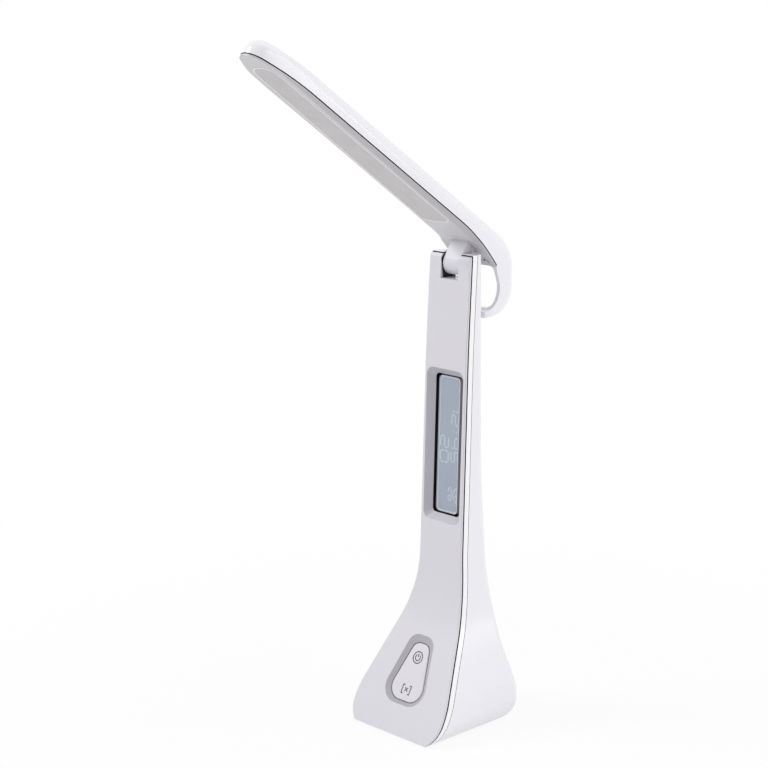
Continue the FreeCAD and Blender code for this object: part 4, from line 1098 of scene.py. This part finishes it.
@dataclass
class Studio:
    """Plain studio: pale floor, soft light and the camera of the photograph.

    Sizes are metres, and angles are degrees.
    """

    camera_place: tuple[float, float, float] = (0.71685, -0.73141, 0.41952)
    azimuth: float = 45.940
    elevation: float = 12.413
    lens: float = 89.90
    sensor: float = 36.0
    ambient: float = 0.55
    lamps: tuple[SoftBox, ...] = (
        SoftBox("front_softbox", (-1.2, -1.2, 1.6), (0.0, 0.0, 0.2), 0.8, 21.0),
        SoftBox("side_softbox", (1.7, 0.85, 1.05), (0.0, 0.0, 0.2), 1.9, 16.0),
        SoftBox("top_softbox", (0.16, 0.8, 1.8), (0.0, -0.05, 0.25), 1.2, 3.0),
    )
    floor_size: float = 14.0
    floor_colour: tuple[float, float, float, float] = (0.9, 0.9, 0.9, 1.0)
    floor_roughness: float = 0.9
    floor_white: float = 0.88
    shadow_near: float = 0.12
    shadow_far: float = 0.5

    def build(self) -> None:
        """Set up the floor, the world, the lamps and the camera."""
        self.build_floor()
        self.build_world()
        for lamp in self.lamps:
            lamp.build()
        self.build_camera()
        bpy.context.scene.view_settings.view_transform = "Standard"

    def build_floor(self) -> None:
        """Lay a pale floor that stays white to the camera and keeps a faint shadow."""
        mesh = bmesh.new()
        bmesh.ops.create_grid(mesh, x_segments=2, y_segments=2, size=self.floor_size)
        data = bpy.data.meshes.new("studio_floor")
        mesh.to_mesh(data)
        mesh.free()
        floor = bpy.data.objects.new("studio_floor", data)
        bpy.context.scene.collection.objects.link(floor)
        material = bpy.data.materials.new("studio_floor")
        material.use_nodes = True
        nodes, links = material.node_tree.nodes, material.node_tree.links
        shader = nodes["Principled BSDF"]
        shader.inputs["Base Color"].default_value = self.floor_colour
        shader.inputs["Roughness"].default_value = self.floor_roughness
        shader.inputs["Specular IOR Level"].default_value = 0.0
        glow = nodes.new("ShaderNodeEmission")
        mix = nodes.new("ShaderNodeMixShader")
        seen = self.seen_directly(nodes, links)
        place = nodes.new("ShaderNodeTexCoord")
        away = nodes.new("ShaderNodeVectorMath")
        away.operation = "LENGTH"
        fade = nodes.new("ShaderNodeMapRange")
        fade.interpolation_type = "SMOOTHSTEP"
        fade.inputs["From Min"].default_value = self.shadow_near
        fade.inputs["From Max"].default_value = self.shadow_far
        fade.inputs["To Min"].default_value = self.floor_white
        fade.inputs["To Max"].default_value = 1.0
        share = nodes.new("ShaderNodeMath")
        share.operation = "MULTIPLY"
        links.new(place.outputs["Object"], away.inputs[0])
        links.new(away.outputs["Value"], fade.inputs["Value"])
        links.new(fade.outputs["Result"], share.inputs[1])
        links.new(seen, share.inputs[0])
        links.new(share.outputs[0], mix.inputs["Fac"])
        links.new(shader.outputs[0], mix.inputs[1])
        links.new(glow.outputs[0], mix.inputs[2])
        links.new(mix.outputs[0], nodes["Material Output"].inputs["Surface"])
        data.materials.append(material)

    @staticmethod
    def seen_directly(nodes: bpy.types.Nodes, links: bpy.types.NodeLinks) -> bpy.types.NodeSocket:
        """Mark the rays that come from the camera, straight, mirrored or through glass.

        Args:
            nodes: Nodes of the material or of the world.
            links: Links between them.

        Returns:
            Output that is one for such rays.
        """
        path = nodes.new("ShaderNodeLightPath")
        total = path.outputs["Is Camera Ray"]
        for label in ("Is Glossy Ray", "Is Transmission Ray"):
            larger = nodes.new("ShaderNodeMath")
            larger.operation = "MAXIMUM"
            links.new(total, larger.inputs[0])
            links.new(path.outputs[label], larger.inputs[1])
            total = larger.outputs[0]
        return total

    def build_world(self) -> None:
        """Fill the room with even light and a white background."""
        world = bpy.data.worlds.new("studio_room")
        bpy.context.scene.world = world
        world.use_nodes = True
        nodes, links = world.node_tree.nodes, world.node_tree.links
        seen = self.seen_directly(nodes, links)
        level = nodes.new("ShaderNodeMapRange")
        level.inputs["To Min"].default_value = self.ambient
        level.inputs["To Max"].default_value = 1.0
        links.new(seen, level.inputs["Value"])
        links.new(level.outputs["Result"], nodes["Background"].inputs["Strength"])
        nodes["Background"].inputs["Color"].default_value = (1.0, 1.0, 1.0, 1.0)

    def build_camera(self) -> None:
        """Place the camera at the photograph's viewing angle."""
        data = bpy.data.cameras.new("studio_camera")
        data.lens = self.lens
        data.sensor_width = self.sensor
        camera = bpy.data.objects.new("studio_camera", data)
        bpy.context.scene.collection.objects.link(camera)
        turn, rise = math.radians(self.azimuth), math.radians(self.elevation)
        back = Vector((math.sin(turn) * math.cos(rise), -math.cos(turn) * math.cos(rise),
                       math.sin(rise)))
        camera.location = self.camera_place
        camera.rotation_mode = "QUATERNION"
        camera.rotation_quaternion = (-back).to_track_quat("-Z", "Y")
        bpy.context.scene.camera = camera


def main() -> None:
    """Build and dress every sub-assembly, then set up the studio."""
    logging.basicConfig(level=logging.INFO)
    for assembly in (Stand(), DisplayUnit(), RockerKey(), LightHead()):
        assembly.build()
        assembly.dress()
        LOG.info("dressed %s", type(assembly).__name__)
    Studio().build()


if __name__ == "__main__":
    main()
